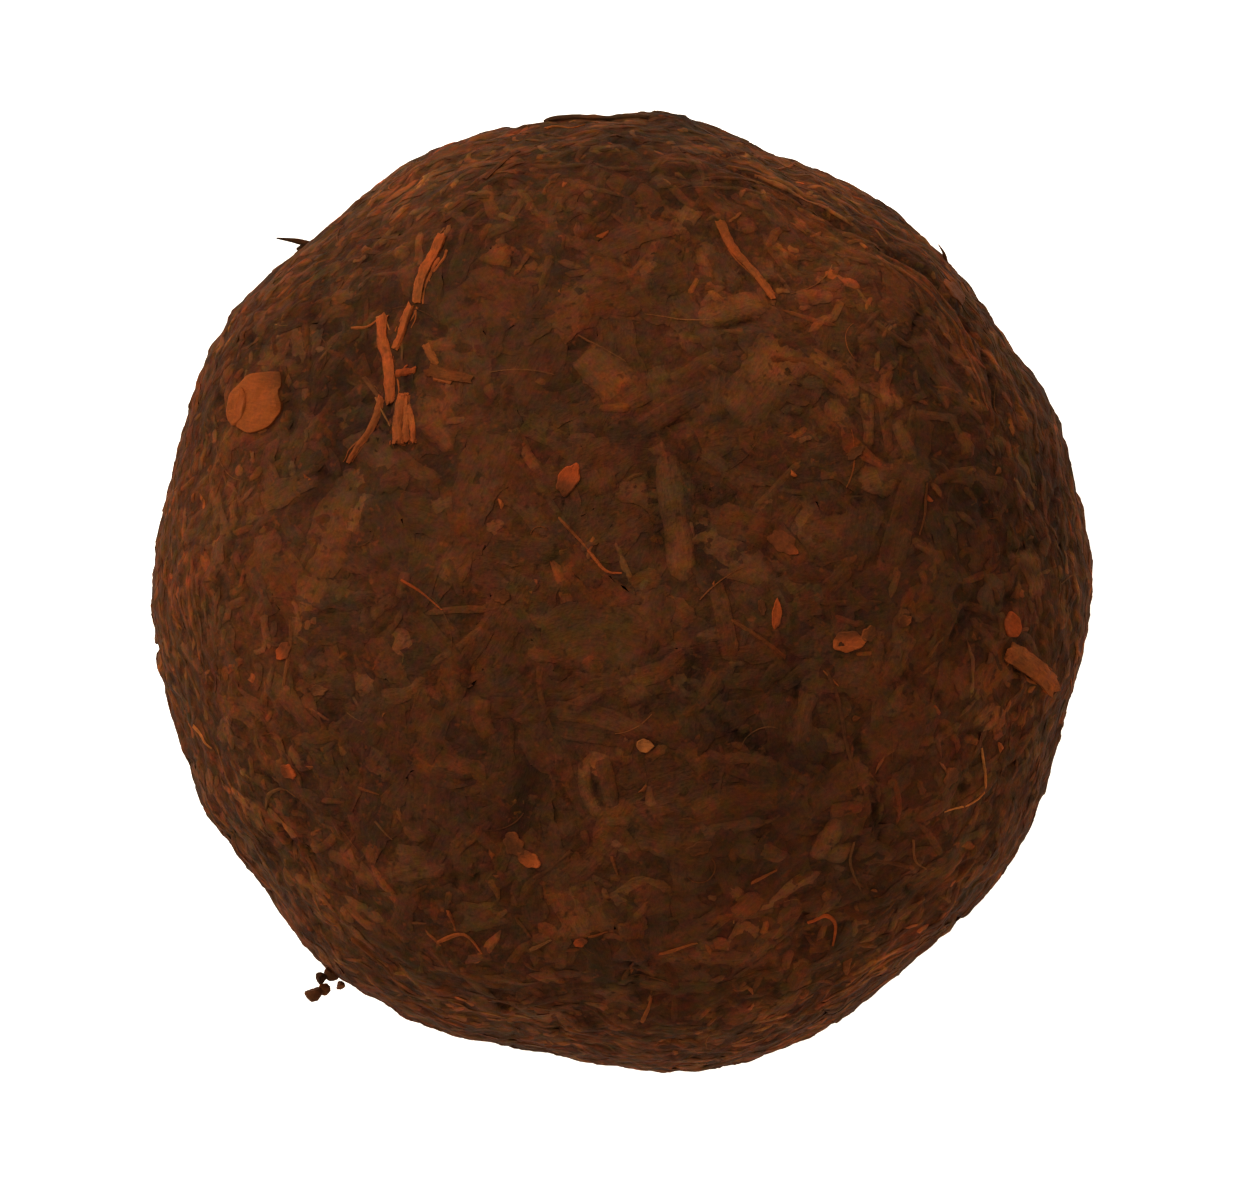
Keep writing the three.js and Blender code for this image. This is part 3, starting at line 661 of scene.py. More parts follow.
    def tint(self, foot):
        """How much lighter and warmer the tea is in one patch than in another. Lighter tea is
        also redder."""
        light, warmth = field(self.tones, foot), field(self.warmths, foot)
        rim = 1 - smoothstep(24, 38, foot[..., 2])
        light = light + rim * field(self.specks, foot)
        on_dome = smoothstep(10, 14, foot[..., 2])
        for x, y, radius, more in PATCHES:
            far = ((foot[..., 0] - x) ** 2 + (foot[..., 1] - y) ** 2) / radius ** 2
            light = light + more * on_dome * np.exp(-0.5 * far)
        # Less blue at the rim: a painted correction for the cooler light and sheen that reach the rim.
        return np.exp(np.stack([
            1.15 * light + 0.35 * warmth, 0.8 * light - 0.45 * warmth,
            0.42 * light - 0.5 * warmth - 0.14 * rim], -1))


# ---- The bed of leaves ----


class Bed:
    """Height maps of what has been laid so far, one round the dome's axis and one round the
    hollow's. On a map a place is as far from the middle as its run from that axis."""

    cell = 0.25
    sample_gap = 0.16
    past_ring = 14
    near_blur = 1.1
    wide_blur = 5.0
    deepest = -3

    def __init__(self, skin):
        self.skin = skin
        self.whole = skin.run[-1]
        self.middle = int(math.ceil((skin.ring_run + self.past_ring) / self.cell))
        self.size = 2 * self.middle + 1
        self.heights = np.zeros((2, self.size, self.size))
        self.sunk = np.zeros_like(self.heights)

    def side_of(self, run):
        """0 on the outside of the block and 1 in the hollow: which map a place is on."""
        return (run > self.skin.ring_run).astype(int)

    def on_map(self, run, azimuth, side):
        reach = np.where(side == 1, self.whole - run, run) / self.cell
        return self.middle + reach * np.cos(azimuth), self.middle + reach * np.sin(azimuth)

    def sample(self, maps, run, azimuth, side):
        x, y = self.on_map(run, azimuth, side)
        x = np.clip(x, 0, self.size - 1.001)
        y = np.clip(y, 0, self.size - 1.001)
        i, j = x.astype(int), y.astype(int)
        u, v = x - i, y - j
        return ((1 - u) * (1 - v) * maps[side, i, j] + u * (1 - v) * maps[side, i + 1, j]
                + (1 - u) * v * maps[side, i, j + 1] + u * v * maps[side, i + 1, j + 1])

    def blur(self, maps, width):
        """maps softened over a width in millimetres."""
        first = np.fft.fftfreq(self.size, self.cell)[:, None]
        second = np.fft.rfftfreq(self.size, self.cell)[None, :]
        keep = np.exp(-2 * (math.pi * width) ** 2 * (first ** 2 + second ** 2))
        return np.stack([np.fft.irfft2(np.fft.rfft2(one) * keep, s=one.shape) for one in maps])

    def cover(self, run, azimuth, side, heights, length, width):
        """Raises the maps to the tops of the pieces, which are grids of stations by points."""
        across = max(2, int(np.percentile(width, 95) / self.sample_gap) + 1)
        steps = max(2, int(np.percentile(length, 95) / self.sample_gap) + 1)
        x, y = self.on_map(run, azimuth, side)
        fine = [self.finer(self.finer(grid, steps, 1), across, 2) for grid in (x, y, heights)]
        i = np.clip(np.rint(fine[0]).astype(int), 0, self.size - 1)
        j = np.clip(np.rint(fine[1]).astype(int), 0, self.size - 1)
        flat = (side[:, :1, :1] * self.size + i) * self.size + j
        np.maximum.at(self.heights.reshape(-1), flat.reshape(-1), fine[2].reshape(-1))

    @staticmethod
    def finer(grid, count, axis):
        """A grid resampled to a count of places along an axis."""
        place = np.linspace(0, grid.shape[axis] - 1.0001, count)
        low = place.astype(int)
        share = place - low
        share = share[:, None] if axis == 1 else share
        return (1 - share) * np.take(grid, low, axis) + share * np.take(grid, low + 1, axis)

    def crease(self, route, width, depth):
        """Sinks the tea along a route on the dome: deepest in the middle, fading at both ends."""
        points = along_curve(self.skin.under_eye(route), 40)
        run, azimuth = self.skin.find(points)
        x, y = self.on_map(run, azimuth, np.zeros(len(run), int))
        fade = np.sin(np.linspace(0.12, 0.88, len(x)) * math.pi) ** 0.5
        reach = int(3 * width / self.cell) + 1
        for a, b, share in zip(x, y, fade):
            i, j = int(a) + np.arange(-reach, reach + 2)[:, None], int(b) + np.arange(-reach, reach + 2)
            far = ((i - a) ** 2 + (j - b) ** 2) * (self.cell / width) ** 2
            patch = self.sunk[0, i, j]
            self.sunk[0, i, j] = np.maximum(patch, depth * share * np.exp(-2 * far))

    def random_creases(self, count, rng):
        """Short creases any way over the dome, with the eye's places as their routes."""
        run, azimuth = spread(self.skin, count, rng, 0.3)
        above = run < self.skin.widest_run * 0.9
        foot, _ = self.skin.at(run[above], azimuth[above])
        for x, y in foot[:, :2]:
            heading, bend = rng.uniform(0, TURN), rng.normal(0, 0.5)
            steps = np.cumsum(np.stack([
                np.cos(heading + bend * np.arange(3)), np.sin(heading + bend * np.arange(3))], 1), 0)
            route = np.array([x, y]) + steps * rng.uniform(0.4, 1.6)
            self.crease(route, rng.uniform(0.25, 0.5), rng.uniform(0.1, 0.42))

    def press(self, leaves):
        """Presses the bed flush: hard on the crown of the dome and less at the rim."""
        self.level = self.blur(self.heights, self.near_blur)
        wide = self.blur(self.heights, self.wide_blur)
        spot = np.arange(self.size) - self.middle
        rim = smoothstep(24, self.skin.widest_run, np.hypot(spot[:, None], spot) * self.cell)
        rim = np.stack([rim, np.ones_like(rim)])
        share = blend(leaves.press_dome, leaves.press_rim, rim)
        self.pressed = wide + share * (self.level - wide) + self.sunk
        self.squash = blend(leaves.squash_dome, leaves.squash_rim, rim)
        self.proud = leaves.proud / MM

    def settled(self, run, azimuth, side, height):
        """Feet, ways out, heights over the skin and depths among neighbours once pressed."""
        foot, out = self.skin.at(run, azimuth)
        level = self.sample(self.level, run, azimuth, side)
        height_now = level + self.sample(self.squash, run, azimuth, side) * (height - level)
        height_now = height_now + self.proud - self.sample(self.pressed, run, azimuth, side)
        height_now = np.maximum(height_now + self.skin.unevenness(foot), self.deepest)
        # Depth sets the painted shade; creases count as deeper still, so they are painted darker.
        depth = height - level - 1.1 * self.sample(self.sunk, run, azimuth, side)
        return foot, out, height_now, depth


# ---- Routes over the skin ----


def spread(skin, count, rng, lean=0.0):
    """Run and azimuth of places spread evenly over the skin, or denser towards the rim."""
    middle = (skin.line[1:, 0] + skin.line[:-1, 0]) / 2
    weight = 1 + lean * (2 * rim_share(skin, (skin.run[1:] + skin.run[:-1]) / 2) - 1)
    area = np.concatenate([[0], np.cumsum(middle * skin.length * weight)])
    share = (np.arange(count) + rng.random(count)) / count
    run = np.interp(share * area[-1], area, skin.run)
    azimuth = np.arange(count) * math.pi * (3 - math.sqrt(5)) + rng.normal(0, 0.15, count)
    azimuth = (azimuth + math.pi) % TURN - math.pi
    order = rng.permutation(count)
    return run[order], azimuth[order]


def rim_share(skin, run):
    """0 on the crown of the dome, rising to 1 at the widest level and below."""
    radius = np.interp(run, skin.run, skin.line[:, 0])
    share = smoothstep(0.5, 0.95, radius / skin.radius)
    share = np.where(run > skin.widest_run, 1.0, share)
    return np.where(run > skin.ring_run, 0.35, share)


def drift(skin, place, heading, length, bend, stations):
    """Feet, ways out and ways forward of pieces that run over the skin from a place."""
    feet, outs, forwards = [], [], []
    run, azimuth = skin.find(place)
    foot, out = skin.at(run, azimuth)
    way = heading
    turn = (bend / stations)[:, None]
    for _ in range(stations):
        way = unit(way - (way * out).sum(-1, keepdims=True) * out)
        feet.append(foot)
        outs.append(out)
        forwards.append(way)
        way = unit(way * np.cos(turn) + np.cross(out, way) * np.sin(turn))
        run, azimuth = skin.find(foot + way * (length / (stations - 1))[:, None])
        foot, out = skin.at(run, azimuth)
    return np.stack(feet, 1), np.stack(outs, 1), np.stack(forwards, 1)


def along_curve(points, stations):
    """Even stations on a smooth curve through points."""
    points = np.asarray(points, float)
    padded = np.concatenate([2 * points[:1] - points[1:2], points, 2 * points[-1:] - points[-2:-1]])
    fine = []
    for a, b, c, d in zip(padded, padded[1:], padded[2:], padded[3:]):
        t = np.linspace(0, 1, 13)[:-1, None]
        fine.append(0.5 * (2 * b + (c - a) * t + (2 * a - 5 * b + 4 * c - d) * t ** 2
                           + (3 * b - a - 3 * c + d) * t ** 3))
    fine = np.concatenate(fine + [points[-1:]])
    run = np.concatenate([[0], np.cumsum(np.linalg.norm(np.diff(fine, axis=0), axis=1))])
    wanted = np.linspace(0, run[-1], stations)
    return np.stack([np.interp(wanted, run, fine[:, axis]) for axis in range(points.shape[1])], 1)


def routed(skin, routes, stations, lift):
    """The same as drift for routes given as x, y seen from straight above, and their lengths."""
    feet, outs, forwards, lengths = [], [], [], []
    for route in routes:
        points = along_curve(skin.under_eye(route, lift), stations)
        foot, out = skin.at(*skin.find(points))
        forward = np.gradient(foot, axis=0)
        forward = unit(forward - (forward * out).sum(-1, keepdims=True) * out)
        feet.append(foot)
        outs.append(out)
        forwards.append(forward)
        lengths.append(np.linalg.norm(np.diff(foot, axis=0), axis=1).sum())
    return (np.stack(feet), np.stack(outs), np.stack(forwards)), np.array(lengths)


# ---- Leaves and strips ----

# Over what width a piece feels the tea under it, how far its underside lies under its base, over
# what share of its length it thins out at each end, and how deep its ends dive.
DRAPE = 0.32
UNDERSIDE = 0.2
END_SHARE = 0.16
END_DIVE = (0.04, 0.28)
# How high over the skin the named pieces are taken to lie, where they are placed at x, y seen from
# straight above.
SHEET_LIFT, FIBRE_LIFT, TWIG_LIFT, SCALE_LIFT = 0.25, 0.5, 0.6, 0.5

def lay_sheets(skin, bed, kind, path, length, width, thick, rng):
    """Lays thin pieces along paths and raises the bed to them. Each is a ring of points at every
    station: its upper face from edge to edge, then back across its underside."""
    feet, outs, forwards = path
    count, stations = feet.shape[:2]
    per_piece = (count, 1, 1)
    share = np.linspace(0, 1, stations)[None, :]
    tops = np.sin(np.linspace(-1, 1, kind.tops) * math.pi / 2)
    under = np.linspace(0.7, -0.7, kind.bottoms) if kind.bottoms > 1 else np.zeros(1)
    across = np.concatenate([tops, under])
    right = (across > 0).astype(int)

    swell = np.clip(1 - np.abs(2 * share - 1) ** rng.uniform(2.6, 9, (count, 1)), 0, 1)
    swell = swell ** rng.uniform(0.25, 0.6, (count, 1))
    swell = swell * (1 + rng.uniform(-0.4, 0.4, (count, 1)) * (share - 0.5))
    half = (width[:, None] / 2) * np.maximum(swell, 0.08)
    lobes = np.sin(share[..., None] * rng.uniform(5, 14, per_piece)
                   + rng.uniform(0, TURN, (count, 1, 2))[:, :, right])
    uneven = 1 + kind.ragged * (lobes + 0.5 * rng.normal(0, 1, (count, stations, len(across))))
    offset = half[..., None] * across * uneven
    aside = np.cross(outs, forwards)
    run, azimuth = skin.find(feet[:, :, None] + aside[:, :, None] * offset[..., None])
    side = bed.side_of(run[:, stations // 2, :1])[:, :, None]
    side = np.broadcast_to(side, run.shape).copy()

    base = bed.sample(bed.blur(bed.heights, DRAPE), run, azimuth, side)
    base = blend(base, base.mean(2, keepdims=True), kind.stiff)
    base[:, 1:-1] = (base[:, :-2] + 2 * base[:, 1:-1] + base[:, 2:]) / 4
    reach = np.abs(across)
    body = thick[:, None, None] * np.sqrt(1 - 0.96 * reach ** rng.uniform(*kind.crown, per_piece))
    body = body + reach ** 3 * (kind.curl * rng.uniform(-0.6, 1, (count, 1, 2)))[:, :, right]
    body = body + across * rng.normal(0, kind.tilt, per_piece)
    along = share[..., None] * length[:, None, None] + np.zeros_like(run)
    for _ in range(2):
        turn = rng.uniform(0, TURN, per_piece)
        drawn = along * np.cos(turn) + offset * np.sin(turn)
        body = body + kind.wrinkle * np.sin(
            drawn * TURN / rng.uniform(2.6, 5.5, per_piece) + rng.uniform(0, TURN, per_piece))
    ends = (smoothstep(0, END_SHARE, share) * smoothstep(0, END_SHARE, 1 - share))[..., None]
    dive = rng.uniform(*END_DIVE, per_piece) * (1 - ends)
    is_top = np.arange(len(across)) < kind.tops
    height = np.where(is_top, base + body * ends - dive, base - UNDERSIDE - dive)
    inner = np.where(is_top, smoothstep(0, 0.6, 1 - reach), 0) * smoothstep(0, 0.9, ends)
    inner = np.broadcast_to(inner, run.shape)
    seen = (slice(None), slice(None), slice(0, kind.tops))
    bed.cover(run[seen], azimuth[seen], side[seen], height[seen], length, width)
    return {
        "run": run, "azimuth": azimuth, "side": side, "height": height, "along": along,
        "across": offset, "inner": inner,
    }


def lay_random(skin, bed, kind, count, rng):
    """Lays pieces of a kind at random: any way on the crown, mostly round the block at the rim."""
    run, azimuth = spread(skin, count, rng, kind.lean)
    rim = rim_share(skin, run)
    place, _ = skin.at(run, azimuth)
    course = azimuth + math.pi / 2 + blend(math.pi, 1.0, rim ** 1.5) * rng.uniform(-1, 1, count)
    heading = np.stack([np.cos(course), np.sin(course), rim * rng.normal(0, 0.6, count)], 1)
    longer, wider, thicker = (blend(1, share, rim) for share in kind.at_rim)
    length = rng.uniform(*kind.length, count) * longer
    width = rng.uniform(*kind.width, count) * wider
    thick = rng.uniform(*kind.thick, count) * thicker
    path = drift(skin, place, heading, length, rng.normal(0, kind.bend, count), kind.stations)
    return lay_sheets(skin, bed, kind, path, length, width, thick, rng)


def lay_named(skin, bed, kind, named, thickness, rng):
    """Lays the pieces that stand out, each along its own route."""
    path, length = routed(skin, [route for route, _, _ in named], kind.stations, SHEET_LIFT)
    width = column(named, 1)
    return lay_sheets(skin, bed, kind, path, length, width, thickness(width), rng)


# Pieces under the ring end at slightly different levels, so that no two faces lie in one plane.
GROUND_SPREAD = 0.04
GOLDEN_SHARE = 0.618


def on_the_ground(points, lowest, give):
    """Rings of points raised to the ground where they reach under it. A ring that lies wholly
    under it keeps a share of its thickness."""
    level = points[..., 2]
    flattened = lowest + give * (level - level.min(-1, keepdims=True))
    points[..., 2] = np.maximum(level, flattened)
    return points


def settle_sheets(bed, laid):
    """Points of laid pieces once pressed, and how deep each lies among its neighbours."""
    foot, out, height, depth = bed.settled(laid["run"], laid["azimuth"], laid["side"], laid["height"])
    points = foot + out * height[..., None]
    count = len(points)
    lowest = LOWEST + GROUND_SPREAD * (np.arange(count) * GOLDEN_SHARE % 1)
    return on_the_ground(points, lowest[:, None, None], 0.15), depth


# ---- Stems and hairs ----

# How thick a pressed stem is for its width.
FLAT = 0.65


def lay_rods(skin, bed, path, length, radius, rng, sides, bury, split=0.0, soften=0.5, span=0.7):
    """Lays stems along paths. radius has a value for each station; split is how deep the grooves
    of a split stem are."""
    feet, outs, forwards = path
    count, stations = feet.shape[:2]
    per_piece = (count, 1, 1)
    run, azimuth = skin.find(feet)
    side = np.broadcast_to(bed.side_of(run[:, stations // 2])[:, None], run.shape).copy()
    base = bed.sample(bed.blur(bed.heights, soften), run, azimuth, side)
    base = blend(base, base.mean(1, keepdims=True), span)
    centre = base + FLAT * radius * (1 - 2 * bury)
    angle = np.arange(sides) / sides * TURN
    grooves = np.cos(3 * angle + rng.uniform(0, TURN, per_piece))
    grooves = grooves + 0.6 * np.cos(5 * angle + rng.uniform(0, TURN, per_piece))
    uneven = 1 + split * grooves + 0.05 * rng.normal(0, 1, (count, stations, sides))
    reach = radius[..., None] * uneven
    aside = np.cross(outs, forwards)
    wide = np.linspace(-1, 1, 5)
    spots = feet[:, :, None] + aside[:, :, None] * (wide * radius[..., None])[..., None]
    top_run, top_azimuth = skin.find(spots)
    top_side = np.broadcast_to(side[..., None], top_run.shape).copy()
    top = centre[..., None] + FLAT * radius[..., None] * np.sqrt(1 - 0.9 * wide ** 2)
    bed.cover(top_run, top_azimuth, top_side, top, length, 2 * radius.max(1))
    share = np.linspace(0, 1, stations)[None, :, None]
    return {
        "run": run, "azimuth": azimuth, "side": side, "height": centre, "aside": aside, "out": outs,
        "sideways": -reach * np.cos(angle), "upwards": FLAT * reach * np.sin(angle),
        "along": share * length[:, None, None] + np.zeros_like(reach),
        "across": angle * radius[..., None],
        "torn": rng.uniform(-0.5, 0.9, (count, 2, sides)) * radius[:, [0, -1]][..., None],
    }


def settle_rods(bed, laid):
    """Points of laid stems once pressed, with torn ends, and how deep each point lies round its stem,
    by which the underside is painted darker as shade.
    """
    foot, out, height, _ = bed.settled(laid["run"], laid["azimuth"], laid["side"], laid["height"])
    height[:, 1:-1] = (height[:, :-2] + height[:, 1:-1] + height[:, 2:]) / 3
    centre = foot + out * height[..., None]
    points = (centre[:, :, None] + laid["aside"][:, :, None] * laid["sideways"][..., None]
              + laid["out"][:, :, None] * laid["upwards"][..., None])
    points[:, 0] += laid["torn"][:, 0, :, None] * unit(centre[:, :1] - centre[:, 1:2])
    points[:, -1] += laid["torn"][:, 1, :, None] * unit(centre[:, -1:] - centre[:, -2:-1])
    return on_the_ground(points, LOWEST, 0.3), 0.1 + laid["upwards"]


def random_rods(skin, count, length, radius, bend, stations, rng, extra=((), ())):
    """Stems at random places and ways, after the ones whose routes and radii are given."""
    run, azimuth = spread(skin, count, rng)
    place, _ = skin.at(run, azimuth)
    heading = unit(np.cross(rng.normal(0, 1, (count, 3)), place))
    length = rng.uniform(*length, count)
    path = drift(skin, place, heading, length, rng.normal(0, bend, count), stations)
    radius = rng.uniform(*radius, (count, 1))
    routes, radii = extra
    if routes:
        named, named_length = routed(skin, routes, stations, FIBRE_LIFT)
        path = [np.concatenate(pair) for pair in zip(named, path)]
        length = np.concatenate([named_length, length])
        radius = np.concatenate([np.array(radii)[:, None], radius])
    return path, length, radius


# ---- Scales and chips, each modelled once and copied ----

# Over what width they feel the tea under them, and how little they follow it.
SCALE_DRAPE = 0.7
SCALE_STIFFNESS = 0.6


def modelled(build):
    """The points and faces of a small form, which is then cleared away."""
    bpy.ops.object.select_all(action="DESELECT")
    build()
    bpy.ops.object.mode_set(mode="OBJECT")
    bpy.ops.object.transform_apply()
    form = bpy.context.active_object
    mesh = form.data
    points = np.empty(3 * len(mesh.vertices))
    mesh.vertices.foreach_get("co", points)
    faces = [tuple(face.vertices) for face in mesh.polygons]
    bpy.data.objects.remove(form)
    bpy.data.meshes.remove(mesh)
    return points.reshape(-1, 3), faces


def scale_form():
    """An oval scale one unit across: a bevelled rim round a broad back."""
    bpy.ops.mesh.primitive_circle_add(vertices=48, radius=0.5, fill_type="TRIFAN")
    bpy.ops.object.mode_set(mode="EDIT")
    bpy.ops.mesh.select_all(action="SELECT")
    bpy.ops.mesh.subdivide(number_cuts=1)
    bpy.ops.mesh.extrude_region_move(TRANSFORM_OT_translate={"value": (0, 0, 0.7)})
    bpy.ops.mesh.extrude_region_move(TRANSFORM_OT_translate={"value": (0, 0, 0.3)})
    bpy.ops.transform.resize(value=(0.9, 0.9, 1), center_override=(0, 0, 1))
    bpy.ops.mesh.select_all(action="SELECT")
    bpy.ops.mesh.normals_make_consistent(inside=False)


def chip_form():
    """A broken chip one unit across: a lump with two faces cut off."""
    bpy.ops.mesh.primitive_ico_sphere_add(subdivisions=2, radius=0.5)
    bpy.ops.object.mode_set(mode="EDIT")
    for place, way in (((0.22, 0, 0.1), (0.8, 0.3, 0.4)), ((-0.1, -0.2, 0), (-0.2, -0.9, 0.3))):
        bpy.ops.mesh.select_all(action="SELECT")
        bpy.ops.mesh.bisect(plane_co=place, plane_no=way, use_fill=True, clear_outer=True)
    bpy.ops.mesh.select_all(action="SELECT")
    bpy.ops.transform.vertex_random(offset=0.05, seed=4)
    bpy.ops.mesh.normals_make_consistent(inside=False)


def random_turn(rng):
    """A turn any way in space, as a matrix."""
    axes, _ = np.linalg.qr(rng.normal(0, 1, (3, 3)))
    return (axes * np.sign(np.linalg.det(axes))).T


def evenly(colour, points):
    """The colour of each copy, repeated for each of the form's points."""
    return colour[:, None] * np.ones((1, len(points), 1))


def shaped_scales(form, rng):
    """Each scale's own outline: a pointed tip, uneven edges and a dished, wrinkled back."""
    points = np.repeat(form[None], len(SCALES), 0)
    angle = np.arctan2(points[..., 1], points[..., 0])
    reach = 2 * np.hypot(points[..., 0], points[..., 1])
    one = (len(SCALES), 1)
    worn = column(SCALES, 7)[:, None]
    edge = 1 + 0.5 * (1 - 1.4 * worn) * np.exp(-np.abs(angle) / 0.42)
    for waves in (2, 3, 5, 7):
        edge = edge + (0.02 + 0.10 * worn) * np.cos(waves * angle + rng.uniform(0, TURN, one))
    points[..., :2] *= edge[..., None]
    back = points[..., 2] > 0.5
    dish = 0.35 * reach ** 2 - 0.12 + 0.12 * np.sin(9 * points[..., 0] + rng.uniform(0, TURN, one))
    points[..., 2] += np.where(back, dish, 0)
    return points


def wrapped(bed, points, spots, headings, sizes, sink):
    """Small forms laid on the pressed bed: x runs along the heading and z away from the skin.
    Their lengths and widths are those seen from straight above."""
    skin = bed.skin
    flat = points * sizes[:, None, :]
    ahead = np.stack([np.cos(headings), np.sin(headings)], 1)[:, None]
    aside = np.stack([-np.sin(headings), np.cos(headings)], 1)[:, None]
    seen = np.asarray(spots)[:, None] + ahead * flat[..., :1] + aside * flat[..., 1:2]
    run, azimuth = skin.find(skin.under_eye(seen.reshape(-1, 2), SCALE_LIFT).reshape(flat.shape))
    side = bed.side_of(run)
    base = bed.sample(bed.blur(bed.heights, SCALE_DRAPE), run, azimuth, side)
    base = blend(base, base.mean(1, keepdims=True), SCALE_STIFFNESS)
    foot, out, height, _ = bed.settled(run, azimuth, side, base)
    return foot + out * (height + flat[..., 2] - sink)[..., None]


# ---- Colours of single pieces ----

# Painted shade: what the deepest tea is multiplied by, and the depths between which it gets there.
DEEP_SHADE = (0.55, 0.62, 0.72)
DEEP_BELOW, OPEN_ABOVE = -0.42, 0.04


def toned(tones, rng, count, weights, spread_by=0.10):
    """A colour for each piece: a tone drawn by weight, lighter or darker by a spread."""
    odds = np.array(list(weights.values()), float)
    palette = named_tones(tones, weights)
    colour = palette[rng.choice(len(odds), count, p=odds / odds.sum())]
    other = palette[rng.choice(len(odds), count, p=odds / odds.sum())]
    colour = blend(colour, other, rng.uniform(0, 0.6, (count, 1)))
    return colour * np.exp(rng.normal(0, spread_by, (count, 1)))


def named_tones(tones, names):
    """The colours that go by these names."""
    return np.array([getattr(tones, name)[:] for name in names])


def drawn_tones(plan, kind, weights, rng):
    """A colour for each laid piece of a kind."""
    return toned(plan.tones, rng, len(plan.laid[kind]["run"]), weights)


def shaded(colour, depth):
    """Colours of points, painted darker and duller as shade where the points lie deep between others.
    """
    return colour * blend(np.array(DEEP_SHADE), 1, smoothstep(DEEP_BELOW, OPEN_ABOVE, depth)[..., None])


# ---- Meshes ----


# Edges sharper than this stay sharp.
SMOOTH_BELOW = math.radians(42)
# The share of its cell in the bake map that a piece leaves bare on each side.
CELL_MARGIN = 0.06


def axis_shift():
    """From the dome's axis to the frame, in metres."""
    x, y = bpy.context.scene.tuocha_shape.axis
    return np.array([x, y, 0])


def paint(mesh, colour):
    """Gives each point of a mesh its colour."""
    opaque = np.concatenate([colour, np.ones((len(colour), 1))], 1)
    attribute = mesh.color_attributes.new(COLOUR, "FLOAT_COLOR", "POINT")
    attribute.data.foreach_set("color", opaque.ravel())


def joined_mesh(name, points, corners, totals, colour, grain, cells, material):
    """One piece from arrays: points in millimetres, face corners, corners in each face, colours
    of the points, and two maps with a place for each corner."""
    starts = np.concatenate([[0], np.cumsum(totals)[:-1]])
    mesh = bpy.data.meshes.new(name)
    mesh.vertices.add(len(points))
    mesh.vertices.foreach_set("co", (points * MM + axis_shift()).ravel())
    mesh.loops.add(len(corners))
    mesh.loops.foreach_set("vertex_index", corners.astype(np.int32))
    mesh.polygons.add(len(totals))
    mesh.polygons.foreach_set("loop_start", starts.astype(np.int32))
    mesh.polygons.foreach_set("loop_total", totals.astype(np.int32))
    mesh.update(calc_edges=True)
    paint(mesh, colour)
    mesh.uv_layers.new(name=GRAIN_MAP).data.foreach_set("uv", grain.ravel())
    mesh.uv_layers.new(name=BAKE_MAP).data.foreach_set("uv", cells.ravel())
    piece = bpy.data.objects.new(name, mesh)
    bpy.context.scene.collection.objects.link(piece)
    mesh.materials.append(material)
    bpy.ops.object.select_all(action="DESELECT")
    piece.select_set(True)
    bpy.context.view_layer.objects.active = piece
    bpy.ops.object.shade_smooth_by_angle(angle=SMOOTH_BELOW)
    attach(piece, BODY)


def ring_mesh(name, points, colour, along, across, material):
    """One mesh of many closed pieces, each a row of rings. The grain map is in millimetres along
    and across each piece, and the bake map has a cell for each piece."""
    count, stations, ring = points.shape[:3]
    base = np.arange(count)[:, None, None] * stations * ring
    i = np.arange(stations - 1)[None, :, None] * ring
    j = np.arange(ring)[None, None, :]
    k = (j + 1) % ring
    quads = np.stack(np.broadcast_arrays(
        base + i + j, base + i + ring + j, base + i + ring + k, base + i + k), -1).reshape(-1, 4)
    fan = np.arange(1, ring - 1)
    start = np.arange(count)[:, None] * stations * ring
    first = np.stack(np.broadcast_arrays(start, start + fan, start + fan + 1), -1)
    end = start + (stations - 1) * ring
    last = np.stack(np.broadcast_arrays(end, end + fan + 1, end + fan), -1)
    caps = np.concatenate([first.reshape(-1, 3), last.reshape(-1, 3)])
    corners = np.concatenate([quads.reshape(-1), caps.reshape(-1)])
    totals = np.concatenate([np.full(len(quads), 4), np.full(len(caps), 3)])

    u = ((corners // ring) % stations) / (stations - 1)
    v = (corners % ring) / ring
    in_quads = np.arange(quads.size).reshape(-1, 4)
    closing = in_quads[(quads[:, 0] % ring) == ring - 1]
    v[closing[:, 2:].ravel()] = 1
    cells = in_cells(corners // (stations * ring), count, u, v)
    grain = np.stack([along, across], -1).reshape(-1, 2)[corners]
    tinted = (colour * made_plan().skin.tint(points)).reshape(-1, 3)
    joined_mesh(name, points.reshape(-1, 3), corners, totals, tinted, grain, cells, material)


def copied_mesh(name, points, faces, colour, material):
    """One mesh of copies of a form, with the same two maps."""
    count, size = points.shape[:2]
    once = np.concatenate([np.array(face) for face in faces])
    corners = (once[None] + size * np.arange(count)[:, None]).ravel()
    totals = np.tile([len(face) for face in faces], count)
    centred = points - points.mean(1, keepdims=True)
    _, _, axes = np.linalg.svd(centred, full_matrices=False)
    local = np.einsum("cnk,cak->cna", centred, axes)
    extent = np.abs(local).max(1, keepdims=True) + 1e-6
    place = (local / extent + 1).reshape(-1, 3)[corners] / 2
    grain = local.reshape(-1, 3)[corners]
    u = place[:, 0] / 2 + np.where(grain[:, 2] > 0, 0.5, 0)
    cells = in_cells(corners // size, count, u, place[:, 1])
    joined_mesh(
        name, points.reshape(-1, 3), corners, totals, colour.reshape(-1, 3), grain[:, :2], cells,
        material)


def in_cells(piece, count, u, v):
    """Places in a bake map, with each piece in its own cell of a square grid."""
    rows = math.ceil(math.sqrt(count))
    cell = np.stack([piece % rows, piece // rows], 1)
    return (cell + CELL_MARGIN + (1 - 2 * CELL_MARGIN) * np.stack([u, v], 1)) / rows


# ---- Materials ----


